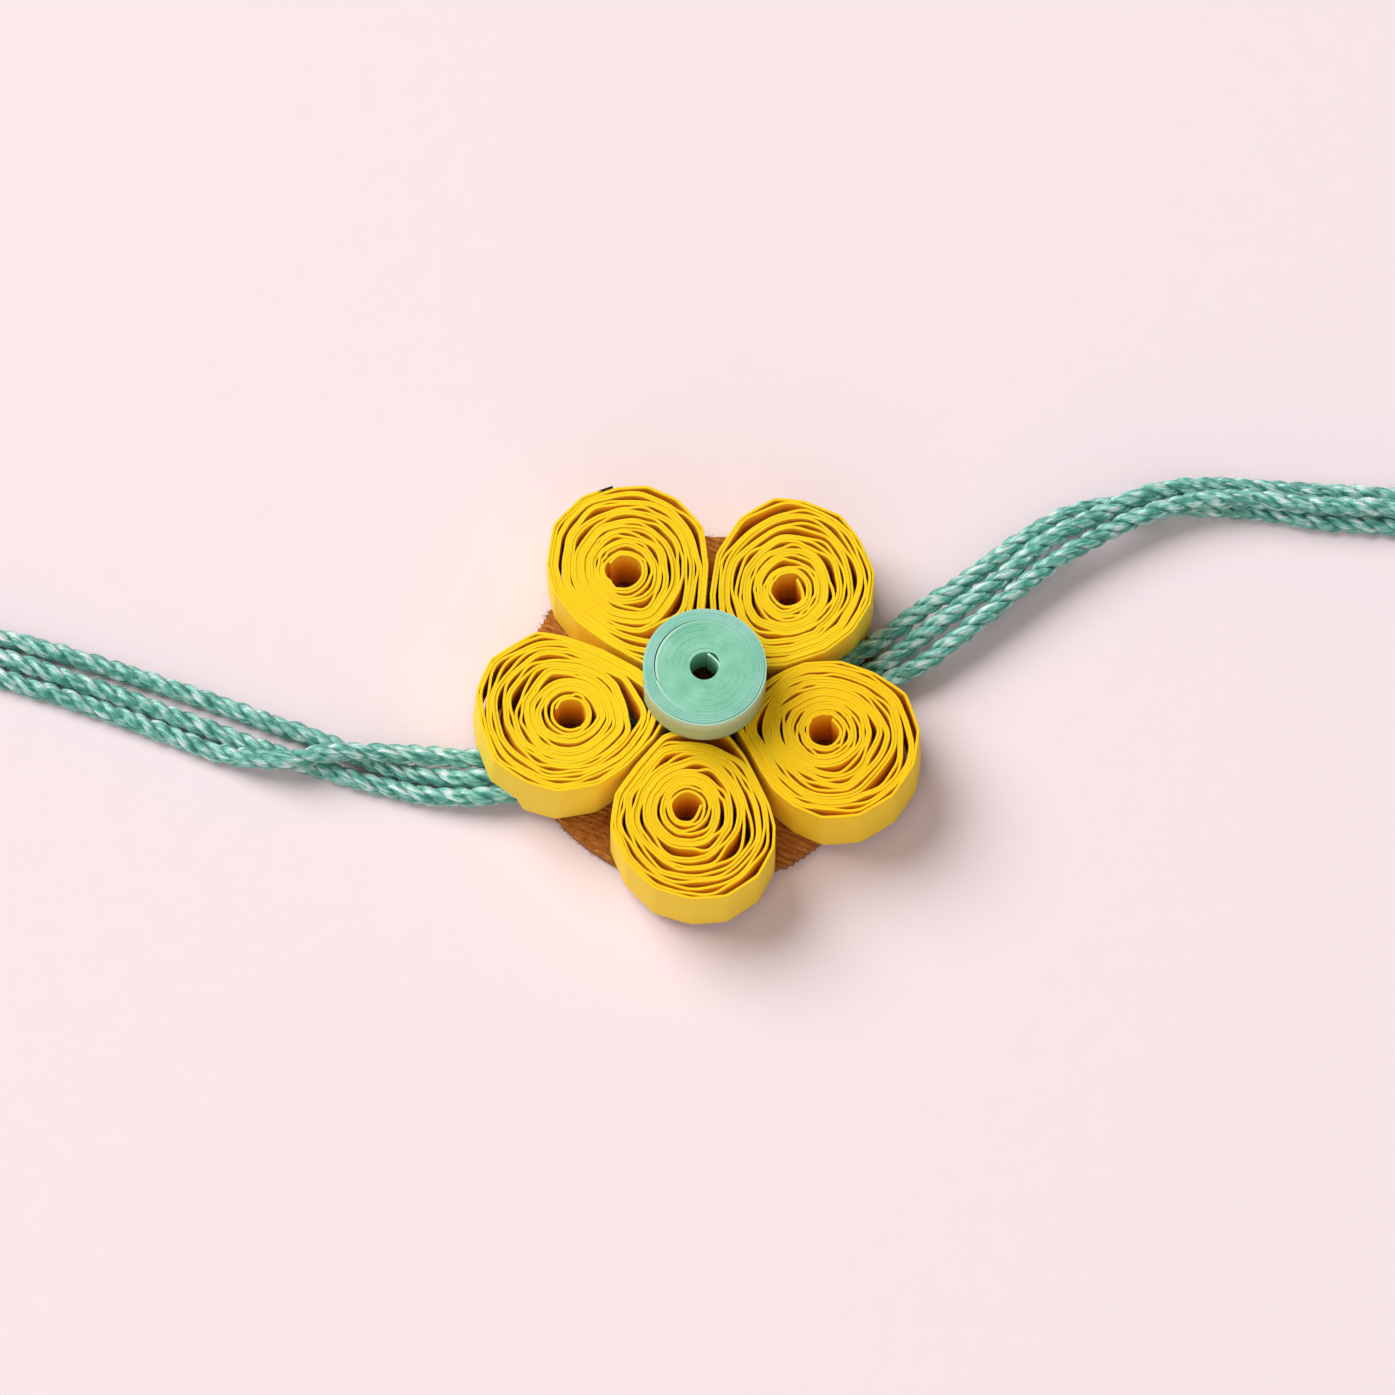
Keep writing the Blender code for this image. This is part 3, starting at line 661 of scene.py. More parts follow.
strand_lines = {}
for side in ("left", "right"):
    knot = knot_piece(side, 31 if side == "left" else 47)
    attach(knot, "root")
    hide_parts(f"{side}_end_knot")
    threads = {}
    for n, which in enumerate(("top", "mid", "low")):
        line = strand_centreline(side, which)
        ob, centre = strand_mesh(f"{side}_thread_{which}", line, 100 + n + (10 if side == "right" else 0))
        strand_lines[(side, which)] = centre
        threads[which] = ob
        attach(ob, "root")
        if which == "mid":
            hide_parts(f"{side}_strand_{which}", f"{side}_thread_coil")
        else:
            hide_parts(f"{side}_strand_{which}")
    visible = [strand_lines[(side, w)][90:360] for w in ("top", "mid", "low")]
    fuzz = hairs(f"{side}_thread_fuzz", visible, 190, 7 if side == "left" else 8)
    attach(fuzz, "root")
    for which, ob in threads.items():
        centre = strand_lines[(side, which)]
        path = centre[::6]
        if not np.allclose(path[-1], centre[-1]):
            path = np.vstack([path, centre[-1]])


# ---------------------------------------------------------------- petals

PETALS = {
    "petal_north_west": {
        "hole": (-5.4, 8.4), "hole_r": 1.16,
        "corners": [
            (-5.9, 15.0), (-3.7, 14.9), (-1.6, 13.9), (0.2, 11.8), (0.6, 8.9),
            (0.4, 6.2), (0.1, 3.9), (-1.5, 1.5), (-3.5, 1.2), (-6.4, 2.8),
            (-8.7, 4.5), (-10.4, 6.8), (-10.9, 8.9), (-10.4, 12.0), (-8.4, 14.1),
        ],
        "spread": 0.0, "turns": 20, "seam": 97.0, "lift": 0.03, "tail": (150.0, 108.0), "seed": 11, "vary": 0.5, "facet": 3.0,
        "gaps": [
            (182, 0.87, 11, 0.36), (169, 0.80, 12, 0.32), (170, 0.52, 13, 0.28),
            (150, 0.50, 11, 0.20), (207, 0.56, 12, 0.22), (127, 0.73, 13, 0.34),
            (88, 0.82, 15, 0.24), (109, 0.53, 13, 0.34), (86, 0.47, 17, 0.36),
            (33, 0.86, 13, 0.52), (49, 0.60, 10, 0.28), (28, 0.50, 13, 0.30),
            (13, 0.57, 15, 0.22), (20, 0.72, 10, 0.26), (35, 0.25, 18, 0.34),
            (318, 0.55, 22, 0.22), (267, 0.31, 26, 0.12),
        ],
    },
    "petal_north_east": {
        "hole": (6.3, 6.9), "hole_r": 1.08,
        "corners": [
            (5.3, 14.0), (7.4, 13.8), (10.0, 12.7), (11.4, 10.8), (12.4, 8.3),
            (12.1, 6.0), (10.9, 3.9), (8.9, 2.3), (6.0, 1.3), (3.4, 1.2), (1.6, 2.2),
            (0.9, 4.1), (0.7, 6.6), (1.2, 9.8), (2.9, 12.5),
        ],
        "spread": 0.01, "turns": 19, "seam": 225.0, "lift": 0.0, "tail": (60.0, -43.0), "seed": 22, "vary": 0.5, "facet": 3.0,
        "gaps": [
            (179, 0.70, 21, 0.26), (181, 0.87, 19, 0.26), (200, 0.62, 13, 0.40),
            (123, 0.86, 11, 0.26), (88, 0.83, 14, 0.22), (68, 0.68, 14, 0.22),
            (21, 0.74, 13, 0.36), (15, 0.42, 18, 0.20), (150, 0.40, 18, 0.18),
            (100, 0.50, 20, 0.14),
        ],
    },
    "petal_west": {
        "hole": (-9.15, -2.35), "hole_r": 1.06,
        "corners": [
            (-11.7, 3.8), (-9.6, 3.5), (-6.9, 2.5), (-4.3, 1.0), (-2.6, -0.5),
            (-2.2, -2.2), (-3.2, -4.1), (-5.2, -6.3), (-7.2, -7.7), (-10.0, -8.2),
            (-12.3, -7.5), (-14.5, -5.9), (-15.5, -3.2), (-15.8, -0.6), (-14.8, 1.8),
        ],
        "spread": 0.03, "turns": 20, "seam": 20.0, "lift": 0.0, "tail": (160.0, 120.0), "seed": 33, "vary": 0.5, "facet": 3.0,
        "gaps": [
            (178, 0.96, 9, 0.20), (169, 0.89, 13, 0.30), (145, 0.81, 12, 0.30),
            (181, 0.66, 23, 0.44), (207, 0.66, 11, 0.30), (192, 0.34, 13, 0.26),
            (159, 0.24, 22, 0.28), (13, 0.74, 13, 0.35), (112, 0.66, 15, 0.20),
            (95, 0.84, 16, 0.16), (-20, 0.55, 16, 0.16),
        ],
    },
    "petal_east": {
        "hole": (8.8, -3.7), "hole_r": 1.04,
        "corners": [
            (7.4, 1.5), (10.0, 1.6), (12.4, 0.7), (14.6, -0.9), (15.5, -3.6),
            (15.1, -6.2), (13.6, -8.5), (11.2, -10.0), (8.6, -10.2), (6.6, -9.3),
            (5.2, -8.1), (4.3, -6.7), (3.4, -4.9), (2.6, -3.4), (2.5, -2.0),
            (3.4, -0.6), (5.0, 0.5),
        ],
        "spread": 0.02, "turns": 20, "seam": 140.0, "lift": 0.0, "tail": (62.0, -9.0), "seed": 44, "vary": 0.5, "facet": 3.0, "warm": 0.8,
        "gaps": [
            (174, 0.78, 21, 0.46), (174, 0.89, 11, 0.28), (173, 0.67, 17, 0.20),
            (158, 0.50, 13, 0.26), (163, 0.33, 21, 0.44), (353, 0.34, 15, 0.36),
            (13, 0.61, 17, 0.44), (1, 0.70, 11, 0.30), (14, 0.81, 12, 0.30),
            (351, 0.81, 11, 0.34), (342, 0.87, 10, 0.20), (344, 0.58, 11, 0.26),
            (326, 0.52, 16, 0.20), (97, 0.47, 26, 0.14), (122, 0.66, 13, 0.24),
            (65, 0.71, 15, 0.14), (278, 0.93, 25, 0.10),
        ],
    },
    "petal_south": {
        "hole": (-0.9, -9.4), "hole_r": 1.0,
        "corners": [
            (-0.6, -3.3), (1.0, -3.2), (2.1, -4.1), (3.15, -5.5), (4.05, -7.3),
            (4.9, -9.2), (5.3, -10.8), (5.2, -12.4), (4.1, -14.5), (1.9, -16.0),
            (-0.6, -16.2), (-3.2, -15.4), (-5.2, -13.4), (-6.3, -10.8), (-6.0, -8.4),
            (-4.5, -6.15), (-2.6, -3.95),
        ],
        "spread": 0.007, "turns": 18, "seam": 88.0, "lift": 0.0, "tail": (16.0, -84.0), "seed": 55, "vary": 0.5, "facet": 3.0, "warm": 0.45,
        "gaps": [
            (88, 0.80, 15, 0.40), (47, 0.60, 23, 0.26), (41, 0.80, 16, 0.26),
            (55, 0.42, 21, 0.22), (177, 0.76, 15, 0.26), (203, 0.60, 15, 0.34),
            (202, 0.91, 9, 0.24), (183, 0.46, 15, 0.24), (346, 0.65, 21, 0.40),
            (342, 0.88, 10, 0.24), (353, 0.26, 15, 0.20), (265, 0.52, 26, 0.12),
        ],
    },
}
STRIP = 0.198
CLOSE = 0.006
SAMPLES = 200


def outline_radii(spec, theta):
    """Radius of the petal's outermost face in each direction from its hole."""
    hole = np.array(spec["hole"])
    corners = np.array(spec["corners"])
    soft = catmull(corners, 24, closed=True)
    nxt = np.roll(corners, -1, axis=0)
    t = (np.arange(24) / 24)[None, :, None]
    straight = (corners[:, None, :] * (1 - t) + nxt[:, None, :] * t).reshape(-1, 2)
    pts = soft * 0.22 + straight * 0.78 - hole
    ang = np.unwrap(np.arctan2(pts[:, 1], pts[:, 0]))
    rad = np.hypot(pts[:, 0], pts[:, 1])
    if ang[-1] < ang[0]:
        ang, rad = ang[::-1], rad[::-1]
    full_a = np.concatenate([ang - TAU, ang, ang + TAU])
    full_r = np.concatenate([rad, rad, rad])
    return np.interp(np.mod(theta - ang[0], TAU) + ang[0], full_a, full_r)


def turn_radii(spec, rng):
    """Inner-face radius along the whole strip, from the hole (u = 0) to its outer end.

    The turns share the room between the hole and the outline. Each one is folded into
    facets of its own, as a loose coil is, and turns that would overlap push each other
    apart until they touch, which leaves lens-shaped gaps between them.
    """
    turns = spec["turns"]
    count = turns * SAMPLES + 1
    u = np.arange(count) / SAMPLES
    seam = math.radians(spec["seam"])
    theta = seam - TAU * u
    outer = outline_radii(spec, theta) - STRIP
    step = STRIP + CLOSE
    # the strip's first bit lies straight across the hole's side, and two turns follow it
    free, start = (math.radians(a) for a in spec["tail"])
    u0 = ((seam - start) / TAU) % 1.0
    across = np.mod(theta - (free + start) / 2 + math.pi, TAU) - math.pi
    half_angle = (free - start) / 2
    dent = np.where(np.abs(across) < half_angle, 1 - math.cos(half_angle) / np.cos(np.clip(across, -1.2, 1.2)), 0.0)
    dent = dent * np.clip((u0 + 3.4 - u) / 2.2, 0, 1) * (u > u0 + 0.4)
    hole = spec["hole_r"] * (1 + 0.02 * np.cos(5 * theta + spec["seed"]) - dent) - step * u0
    share = np.clip(u / (turns - 1), 0, 1)
    base = hole + (outer - hole) * share

    # folds along the strip, some of them in line with the outline's corners
    corners = np.array(spec["corners"]) - np.array(spec["hole"])
    corner_at = np.arctan2(corners[:, 1], corners[:, 0])
    here, folds = 0.0, []
    while here < u[-1]:
        near = float(np.interp(here, u, base))
        length = spec["facet"] * min(1.0, 0.35 + 0.65 * near / 4.2)
        here += length * min(max(math.exp(rng.normal(0, 0.36)), 0.5), 1.9) / (TAU * near)
        at = here
        off = np.mod(seam - TAU * at - corner_at + math.pi, TAU) - math.pi
        best = off[np.argmin(np.abs(off))]
        if near > 2.6 and abs(best) * near < 0.75:
            at += best / TAU
        folds.append(at)
    folds = np.unique(np.clip(np.array([0.0] + folds + [u[-1]]), 0, u[-1]))
    folds = folds[np.concatenate([[True], np.diff(folds) > 0.012])]
    fold_r = np.interp(folds, u, base) + rng.normal(0, spec["vary"] * 0.16, len(folds))
    fold_a = seam - TAU * folds
    px, py = fold_r * np.cos(fold_a), fold_r * np.sin(fold_a)
    k = np.clip(np.searchsorted(folds, u, side="right") - 1, 0, len(folds) - 2)
    ex, ey = px[k + 1] - px[k], py[k + 1] - py[k]
    cross = np.cos(theta) * ey - np.sin(theta) * ex
    chord = (px[k] * ey - py[k] * ex) / np.where(np.abs(cross) < 1e-9, 1e-9, cross)
    rounded = np.interp(u, folds, fold_r)
    flat = np.clip((base - 1.2) / 3.6, 0.20, 0.72)
    r = chord * flat + rounded * (1 - flat)

    # the gaps that the photo shows plainly
    for deg, frac, half, size in spec["gaps"]:
        around = ((seam - math.radians(deg)) / TAU) % 1.0
        row = min(max(int(round(frac * turns - 0.5 - (around - 0.5))), 0), turns - 2)
        x = (u - row - around) * 360.0 / (1.15 * half)
        lens = np.where(np.abs(x) < 1, 0.75 * size * (1 - x * x) ** 1.1, 0)
        r = r - 0.6 * lens
        r[SAMPLES:] += 0.4 * lens[:-SAMPLES]

    ease = np.clip((u - (turns - 1)) * 360.0 / 24.0, 0, 1)
    held = np.where(u >= turns - 1, outer - step * (1 - ease * ease * (3 - 2 * ease)), hole + step * u)
    fixed = (u >= turns - 1) | (u <= 1.0)
    blend = np.clip((u - 1.0) / 0.35, 0, 1) * np.clip((turns - 1 - u) / 0.25, 0, 1)
    r = np.where(fixed, held, r * blend + (1 - blend) * np.where(u < turns / 2, hole + step * u, outer - step))
    held = np.where(u < u0, held - 0.6, held)
    kernel = np.array((1.0, 2.0, 3.0, 4.0, 3.0, 2.0, 1.0))
    kernel /= kernel.sum()
    # neighbours that come close stay pressed together, so the room left gathers in fewer gaps
    reach = 0.07 + 0.04 * smooth_noise(rng, u[SAMPLES:], 0.21)
    for pas in range(4):
        for _ in range(170):
            gap = r[SAMPLES:] - r[:-SAMPLES] - step
            lap = np.maximum(-gap, 0.0) * 0.5
            if pas in (1, 2):
                lap = lap - np.where(gap > 0, np.minimum(gap * 0.5, 0.004 * np.clip(1 - gap / reach, 0, 1)), 0.0)
            r[:-SAMPLES] -= lap
            r[SAMPLES:] += lap
            r[fixed] = held[fixed]
        if pas < 3:
            r = np.convolve(np.pad(r, 3, mode="edge"), kernel, mode="valid")
    return u, theta, r


def channel_foot(x, y, low):
    """Height of a strip's lower edge: raised where the threads pass under it."""
    pts = []
    for side in ("left", "right"):
        part = catmull(ROUTES[side]["mid"][:7], 8)[:, :2]
        pts.append(part)
    line = np.vstack([pts[0][::-1], pts[1]])
    d2 = np.full(x.shape, 1e9)
    for a, b in zip(line[:-1], line[1:]):
        e = b - a
        t = np.clip(((x - a[0]) * e[0] + (y - a[1]) * e[1]) / max(e @ e, 1e-9), 0, 1)
        d2 = np.minimum(d2, (x - a[0] - t * e[0]) ** 2 + (y - a[1] - t * e[1]) ** 2)
    d = np.sqrt(d2)
    t = np.clip((2.45 - d) / 0.4, 0, 1)
    t = t * t * (3 - 2 * t)
    return low + (CHANNEL_ROOF - low) * t


def strip_body(name, inner_xy, outward, thick, z_low, z_high, foot_xy=None, bevel=0.018):
    """Sweeps a paper strip standing on edge along a plan curve: one closed body."""
    n = len(inner_xy)
    outer_xy = inner_xy + outward * thick[:, None]
    lean_in = inner_xy + outward * bevel
    lean_out = outer_xy - outward * bevel
    foot_in = inner_xy if foot_xy is None else foot_xy
    foot_out = foot_in + (outer_xy - inner_xy)
    mid_z = z_low + (z_high - z_low) * 0.55
    mid_in = foot_in * 0.45 + inner_xy * 0.55
    mid_out = foot_out * 0.45 + outer_xy * 0.55

    def ring(xy, z):
        return np.column_stack([xy, z])

    loops = [
        ring(foot_in, z_low), ring(mid_in, mid_z), ring(inner_xy, z_high - bevel),
        ring(lean_in, z_high), ring(lean_out, z_high),
        ring(outer_xy, z_high - bevel), ring(mid_out, mid_z), ring(foot_out, z_low),
    ]
    around = len(loops)
    verts = np.stack(loops, 1).reshape(-1, 3)
    faces = grid_faces(n, around)
    faces.append(list(range(around))[::-1])
    faces.append([(n - 1) * around + i for i in range(around)])
    edge = np.tile(np.array([0, 0, 0.35, 1, 1, 0.35, 0, 0], float), n)
    return verts, faces, edge


def petal(name, spec):
    rng = np.random.default_rng(spec["seed"])
    turns = spec["turns"]
    u, theta, r = turn_radii(spec, rng)
    seam = math.radians(spec["seam"])
    start_at = math.radians(spec["tail"][1]) if spec["tail"] else seam - rng.uniform(1, 5)
    u0 = ((seam - start_at) / TAU) % 1.0
    keep = u >= u0
    u, theta, r = u[keep], theta[keep], r[keep]
    if spec["lift"]:
        away = np.clip(1 - (turns - u) * 360.0 / 16.0, 0, 1)
        r = r + spec["lift"] * away ** 1.5
    hole = np.array(spec["hole"])
    xy = hole + np.column_stack([r * np.cos(theta), r * np.sin(theta)])
    if spec["tail"]:
        free, _ = (math.radians(a) for a in spec["tail"])
        rh = spec["hole_r"]
        a = hole + spec.get("tail_r", 0.93) * rh * np.array([math.cos(free), math.sin(free)])
        b = xy[0]
        ahead = (xy[2] - xy[0]) / np.linalg.norm(xy[2] - xy[0])
        chord = b - a
        t = np.linspace(0, 1, 22)[:-1]
        c = b - ahead * 0.3 * np.linalg.norm(chord)
        bez = (((1 - t) ** 2)[:, None] * a + (2 * t * (1 - t))[:, None] * c + (t ** 2)[:, None] * b)
        xy = np.vstack([bez, xy])
        u = np.concatenate([np.linspace(u0 - 0.2, u0, 22)[:-1], u])
    tangent = np.gradient(xy, axis=0)
    tangent /= np.maximum(np.linalg.norm(tangent, axis=1), 1e-9)[:, None]
    outward = np.column_stack([-tangent[:, 1], tangent[:, 0]])
    length = arc_lengths(xy)
    thick = np.full(len(xy), STRIP)
    high = (PETAL_TOP + 0.05 * smooth_noise(rng, length, 11.0) + 0.035 * smooth_noise(rng, length, 2.5)
            + 0.03 * np.sin(u * 2.4 + spec["seed"]))
    inner_end = min(catmull(spec["corners"], 12, closed=True).tolist(), key=lambda p: p[0] ** 2 + p[1] ** 2)
    foot = np.array(inner_end) + (xy - np.array(inner_end)) * (1 + spec["spread"])
    low = channel_foot(foot[:, 0], foot[:, 1], PETAL_FOOT)
    low = low + 0.02 * smooth_noise(rng, length, 3.0)
    verts, faces, edge = strip_body(name, xy, outward, thick, low, high, foot)
    ob = new_mesh(f"{name}_coil", verts, faces, sharp=38.0)
    set_attribute(ob, "cut_edge", edge)
    set_attribute(ob, "warm", np.full(len(edge), spec.get("warm", 0.0)))
    # painted glow mask: faces covered by the next turn get the orange gap colour, the outermost face does not
    covered = np.clip((turns - 1.0 - u) / 0.02, 0, 1)
    gap_glow_mask = np.outer(covered, np.array([1, 1, 0.5, 0, 0, 0.5, 1, 1.0])) + np.outer(1 - covered, np.array([1, 1, 0.5, 0, 0, 0, 0, 0.0]))
    set_attribute(ob, "painted_gap_glow", gap_glow_mask.ravel())
    # dark colour on the outer face and top of the strip's last bit
    if spec["lift"]:
        outer_face = np.array([0, 0, 0.3, 1, 1, 1, 0, 0], float)
        near_end = np.clip((u - (turns - 0.028)) / 0.006, 0, 1)
        set_attribute(ob, "end_darkening", (near_end[:, None] * outer_face[None, :]).ravel())
    ob.data.materials.append(YELLOW)
    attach(ob, "root")
    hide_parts(name)
    return ob


for petal_name, petal_spec in PETALS.items():
    petal(petal_name, petal_spec)


# ---------------------------------------------------------------- centre coil

CENTRE_AT = np.array((0.3, 0.0))
CENTRE_FOOT = 6.36
CENTRE_TOP = 9.5


def tight_coil(name, node, mat, r_in, r_out, turns, seam_deg, tail, seed, dome, groove=None):
    rng = np.random.default_rng(seed)
    seam = math.radians(seam_deg)
    pitch = (r_out - r_in) / turns
    u0 = 0.0
    if tail:
        u0 = (turns - (math.radians(tail[1]) - seam) / TAU) % 1.0
    samples = 128
    count = int((turns - u0) * samples)
    u = np.linspace(u0, turns, count)
    theta = seam + TAU * (turns - u)
    wob = 0.012 * np.cos(2 * theta + 0.7) + 0.008 * np.cos(3 * theta + 2.0)
    r = r_in + pitch * (u - 1.0) + wob * (u / turns if tail else 1.0)
    if tail:
        r = np.maximum(r, r_in * 0.97)
    if groove:
        r = r + groove(theta) * np.clip((r_out - r) / (r_out - r_in), 0, 1)
    if tail:
        off = np.degrees(np.mod(theta - math.radians(50.0) + math.pi, TAU) - math.pi)
        r = r + 0.11 * np.exp(-(off / 26.0) ** 2) * np.clip(1.0 - (u - 1.7) / 3.5, 0, 1) * (u > 1.2)
    xy = CENTRE_AT + np.column_stack([r * np.cos(theta), r * np.sin(theta)])
    if tail:
        free = math.radians(tail[0])
        a = CENTRE_AT + 0.92 * r_in * np.array([math.cos(free), math.sin(free)])
        t = np.linspace(0, 1, 26)[:-1]
        b = xy[0]
        ahead = (xy[1] - xy[0]) / np.linalg.norm(xy[1] - xy[0])
        c = b - ahead * 0.3
        bez = (((1 - t) ** 2)[:, None] * a + (2 * t * (1 - t))[:, None] * (0.35 * a + 0.65 * c) + (t ** 2)[:, None] * b)
        xy = np.vstack([bez, xy])
        u = np.concatenate([np.full(25, u0), u])
        r = np.concatenate([np.full(25, r_in), r])
        theta = np.concatenate([np.full(25, theta[0]), theta])
    tangent = np.gradient(xy, axis=0)
    tangent /= np.maximum(np.linalg.norm(tangent, axis=1), 1e-9)[:, None]
    outward = np.column_stack([-tangent[:, 1], tangent[:, 0]])
    length = arc_lengths(xy)
    high = CENTRE_TOP - 0.03 + dome(r, theta) + 0.010 * np.sin(u * 2.1) + 0.008 * smooth_noise(rng, length, 4.0)
    low = np.full(len(xy), CENTRE_FOOT) + 0.01 * smooth_noise(rng, length, 3.0)
    thick = np.full(len(xy), pitch * 0.99)
    verts, faces, edge = strip_body(name, xy, outward, thick, low, high, None, bevel=0.007)
    ob = new_mesh(name, verts, faces, sharp=38.0)
    set_attribute(ob, "cut_edge", edge)
    if tail:
        # painted highlight along the outermost turn's top edge on the side towards the key light, and on the strip's
        # start at the hole
        highlight_side = np.clip(np.cos((np.mod(theta, TAU) - math.radians(172.0)) * 1.1), 0, 1)
        highlight_side = np.where(np.abs(np.mod(theta, TAU) - math.radians(172.0)) < math.radians(80.0), highlight_side, 0.0)
        rows = 0.85 * (highlight_side * (u > turns - 1.0) + 0.8 * (u < u0 + 0.01))
        set_attribute(ob, "painted_highlight", (rows[:, None] * np.array([0, 0, 0, 1, 1, 1, 0, 0.0])).ravel())
    else:
        # painted highlight along the upper part of the wrapped strip's outer face
        rows = (u > turns - 1.0).astype(float)
        set_attribute(ob, "painted_highlight", (rows[:, None] * np.array([0, 0, 0, 0, 0.4, 1, 0, 0.0])).ravel())
    ob.data.materials.append(mat)
    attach(ob, "root")
    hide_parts(node)
    return ob


def core_dome(r, theta):
    side = 0.03 * np.cos(theta - math.radians(150)) * np.clip((r - 1.0) / 2.6, 0, 1)
    lip = -0.05 * np.clip((1.45 - r) / 0.45, 0, 1) ** 1.5
    edge = 0.03 * np.clip((r - 3.38) / 0.12, 0, 1)
    return side + lip + edge - 0.03


def wrap_dome(r, theta):
    return -0.12 * np.clip((r - 3.95) / 0.45, 0, 1) ** 1.7 - 0.01


def wrap_groove(theta):
    """How far the wrapped strip stands off the coil inside it, by direction."""
    off = np.abs(np.mod(theta - math.radians(152.0) + math.pi, TAU) - math.pi)
    near = np.where(off < math.radians(62.0), np.clip(np.cos(off * 1.45), 0, 1), 0)
    return 0.085 * near ** 1.2 - 0.066


tight_coil("centre_tight_coil", "centre_coil", TEAL, 1.02, 3.60, 17, 198.0,
           (78.0, 8.0), 71, core_dome)
tight_coil("centre_wrapped_strip", "centre_outer_wrap", TEAL_WRAP, 3.68, 4.47, 5, 198.0,
           None, 72, wrap_dome, wrap_groove)


# ---------------------------------------------------------------- base disc

def base_disc():
    rng = np.random.default_rng(5)
    rib = 0.41
    per_rib = 6
    angle = math.radians(-22.0)
    ca, sa = math.cos(angle), math.sin(angle)
    edge = DISC_RADIUS - 0.04
    rows = int(2 * edge / rib * per_rib)
    v = np.linspace(-edge, edge, rows)
    half = np.sqrt(np.maximum(DISC_RADIUS ** 2 - v ** 2, 0.02))
    rib_index = np.floor(v / rib + 0.5).astype(int)
    jag = rng.uniform(-0.16, 0.03, 400)
    jag2 = rng.uniform(-0.16, 0.03, 400)
    phase = np.cos(TAU * v / rib)
    cols = 56
    w = np.linspace(-1, 1, cols)
    w = np.sign(w) * (1 - (1 - np.abs(w)) ** 1.25)
    left = half + jag[rib_index + 200] - 0.05 * (1 - phase)
    right = half + jag2[rib_index + 200] - 0.05 * (1 - phase)
    uu = np.where(w[None, :] < 0, w[None, :] * left[:, None], w[None, :] * right[:, None])
    vv = np.broadcast_to(v[:, None], uu.shape)
    weave = 0.012 * np.sin(TAU * uu / 0.9 + math.pi * rib_index[:, None])
    ridge = 0.055 * phase[:, None] + weave
    fall = np.clip((1 - np.abs(w)) / 0.03, 0, 1)[None, :]
    top = DISC_TOP - 0.06 + ridge - 0.10 * (1 - fall)
    low = 0.07 - ridge * 0.7 + 0.08 * (1 - fall)
    low = np.maximum(low, 0.002)
    x = uu * ca - vv * sa
    y = uu * sa + vv * ca
    # the disc was cut by hand: a little wider towards the lower right
    toward_cut = np.degrees(np.arctan2(y, x)) + 50.0
    wide = 1 + 0.018 * np.exp(-(toward_cut / 26.0) ** 2) * np.clip(np.hypot(x, y) / DISC_RADIUS, 0, 1) ** 3
    x, y = x * wide, y * wide
    up = np.stack([x, y, top], -1).reshape(-1, 3)
    down = np.stack([x, y, low], -1).reshape(-1, 3)
    n = len(up)
    verts = np.vstack([up, down])
    faces = []
    for quad in grid_faces(rows, cols, 0, wrap=False):
        faces.append(quad[::-1])
    for quad in grid_faces(rows, cols, n, wrap=False):
        faces.append(quad)
    rim = ([i * cols for i in range(rows)] + [(rows - 1) * cols + j for j in range(1, cols)]
           + [i * cols + cols - 1 for i in range(rows - 2, -1, -1)] + [j for j in range(cols - 2, 0, -1)])
    for a, b in zip(rim, rim[1:] + rim[:1]):
        faces.append([a, b, b + n, a + n])
    ob = new_mesh("base_cloth_disc", verts, faces, sharp=60.0)
    bm = bmesh.new()
    bm.from_mesh(ob.data)
    bmesh.ops.recalc_face_normals(bm, faces=bm.faces[:])
    bm.to_mesh(ob.data)
    bm.free()
    uv = np.column_stack([uu.ravel() * 1.2, vv.ravel() / rib * 1.6])
    set_uv(ob, np.vstack([uv, uv + 50.0]))
    ob.data.materials.append(CLOTH)
    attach(ob, "root")
    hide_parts("base_disc")
    return ob


def cloth_fuzz():
    """Fine fibres along the cloth's cut edge."""
    rng = np.random.default_rng(9)
    verts, faces, uvs = [], [], []
    for k in range(420):
        a = rng.uniform(0, TAU)
        out = np.array((math.cos(a), math.sin(a), 0.0))
        base = out * (DISC_RADIUS - 0.12) + np.array((0, 0, rng.uniform(0.15, 0.75)))
        length = rng.uniform(0.06, 0.24)
        lean = np.array((-out[1], out[0], 0)) * rng.normal(0, 0.7) + np.array((0, 0, rng.normal(0.05, 0.35)))
        pts = np.array([base + (out + lean * t) * (length + 0.1) * t for t in np.linspace(0, 1, 4)])
        pts[:, 2] = np.clip(pts[:, 2], 0.03, 1.3)
        _, ps, pu = frames_along(pts)
        thick = 0.02 * np.linspace(1, 0.5, 4)
        ring = [pts + ps * (thick * math.cos(TAU * m / 3))[:, None] + pu * (thick * math.sin(TAU * m / 3))[:, None]
                for m in range(3)]
        offset = sum(len(v) for v in verts)
        verts.append(np.stack(ring, 1).reshape(-1, 3))
        faces += grid_faces(4, 3, offset)
        faces.append([offset + 2, offset + 1, offset])
        faces.append([offset + 9, offset + 10, offset + 11])
        uvs.append(rng.uniform(0, 30, (1, 2)) + np.zeros((12, 2)))
    ob = new_mesh("base_cloth_edge_fibres", np.vstack(verts), faces, sharp=None)
    set_uv(ob, np.vstack(uvs))
    ob.data.materials.append(CLOTH)
    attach(ob, "root")
    return ob


disc = base_disc()
fibres = cloth_fuzz()


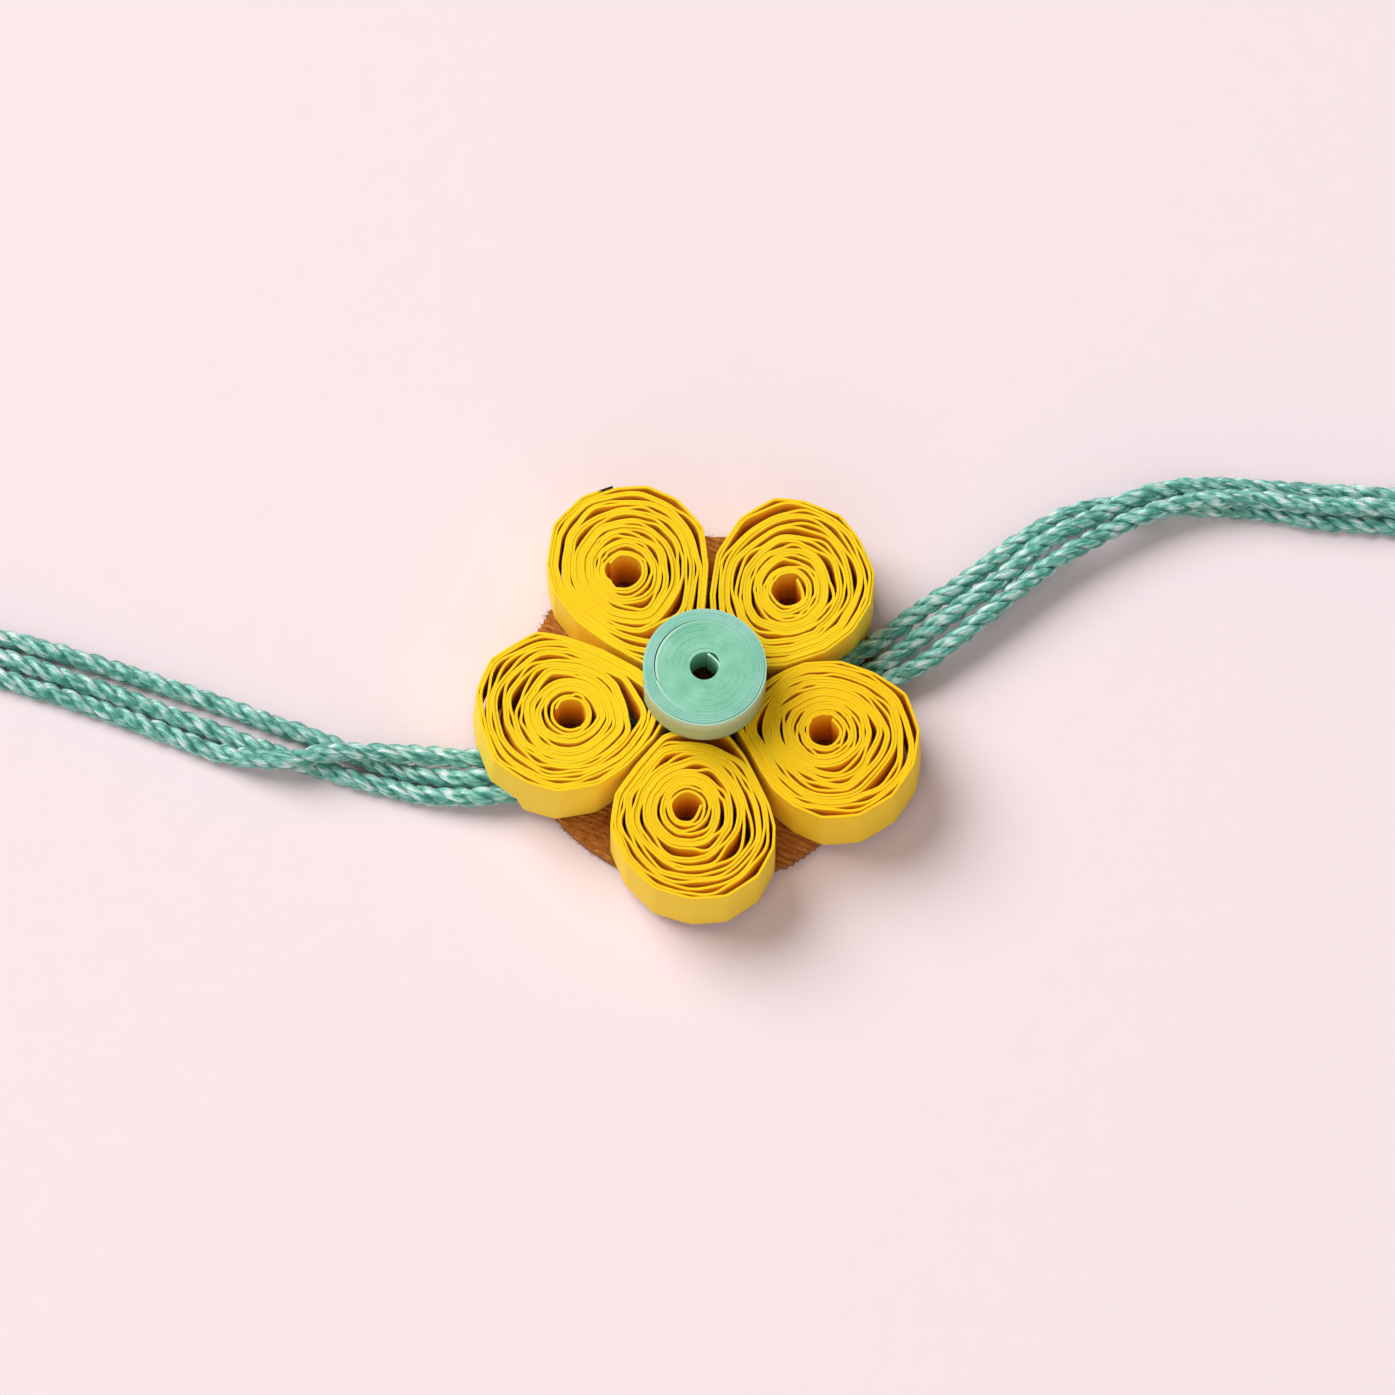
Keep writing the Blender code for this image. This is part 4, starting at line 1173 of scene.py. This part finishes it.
# ---------------------------------------------------------------- stage

def floor_material():
    n = Nodes("floor_pale")
    v = n.coords("Object", (1.0, 1.0, 1.0))
    speck = n.noise(v, 420.0, 3.0, 0.6)
    broad = n.noise(v, 14.0, 2.0)
    colour = n.mix(n.math("MULTIPLY", speck, 0.5), srgb(240, 223, 227), srgb(236, 219, 224))
    colour = n.mix(n.math("MULTIPLY", broad, 0.3), colour, srgb(238, 222, 226))
    n.link(colour, n.bsdf.inputs["Base Color"])
    n.bsdf.inputs["Roughness"].default_value = 0.7
    n.bsdf.inputs["Specular IOR Level"].default_value = 0.25
    n.link(n.bump(speck, 0.08, 0.0002), n.bsdf.inputs["Normal"])
    return n.mat


floor_mesh = bpy.data.meshes.new("floor")
bm = bmesh.new()
bmesh.ops.create_grid(bm, x_segments=8, y_segments=8, size=1.6)
bm.to_mesh(floor_mesh)
bm.free()
floor = bpy.data.objects.new("floor", floor_mesh)
scene.collection.objects.link(floor)
floor_mesh.materials.append(floor_material())


def area_light(name, direction, distance, size, power, colour):
    data = bpy.data.lights.new(name, "AREA")
    data.shape = "DISK"
    data.size = size
    data.energy = power
    data.color = colour
    ob = bpy.data.objects.new(name, data)
    scene.collection.objects.link(ob)
    d = Vector(direction).normalized()
    ob.location = d * distance
    ob.rotation_mode = "QUATERNION"
    ob.rotation_quaternion = (-d).to_track_quat("-Z", "Y")
    return ob


def toward(azimuth, elevation):
    a, e = math.radians(azimuth), math.radians(elevation)
    return (math.cos(a) * math.cos(e), math.sin(a) * math.cos(e), math.sin(e))


area_light("key", toward(141.0, 46.5), 3.2, 2.6, 112.5, (1.0, 1.0, 1.0))
area_light("fill", toward(-96.0, 38.0), 2.2, 3.2, 21.5, (1.0, 0.965, 0.92))

world = bpy.data.worlds.new("studio")
scene.world = world
world.use_nodes = True
world.node_tree.nodes["Background"].inputs["Color"].default_value = (1.0, 0.99, 0.98, 1.0)
world.node_tree.nodes["Background"].inputs["Strength"].default_value = 0.22
scene.view_settings.view_transform = "Standard"
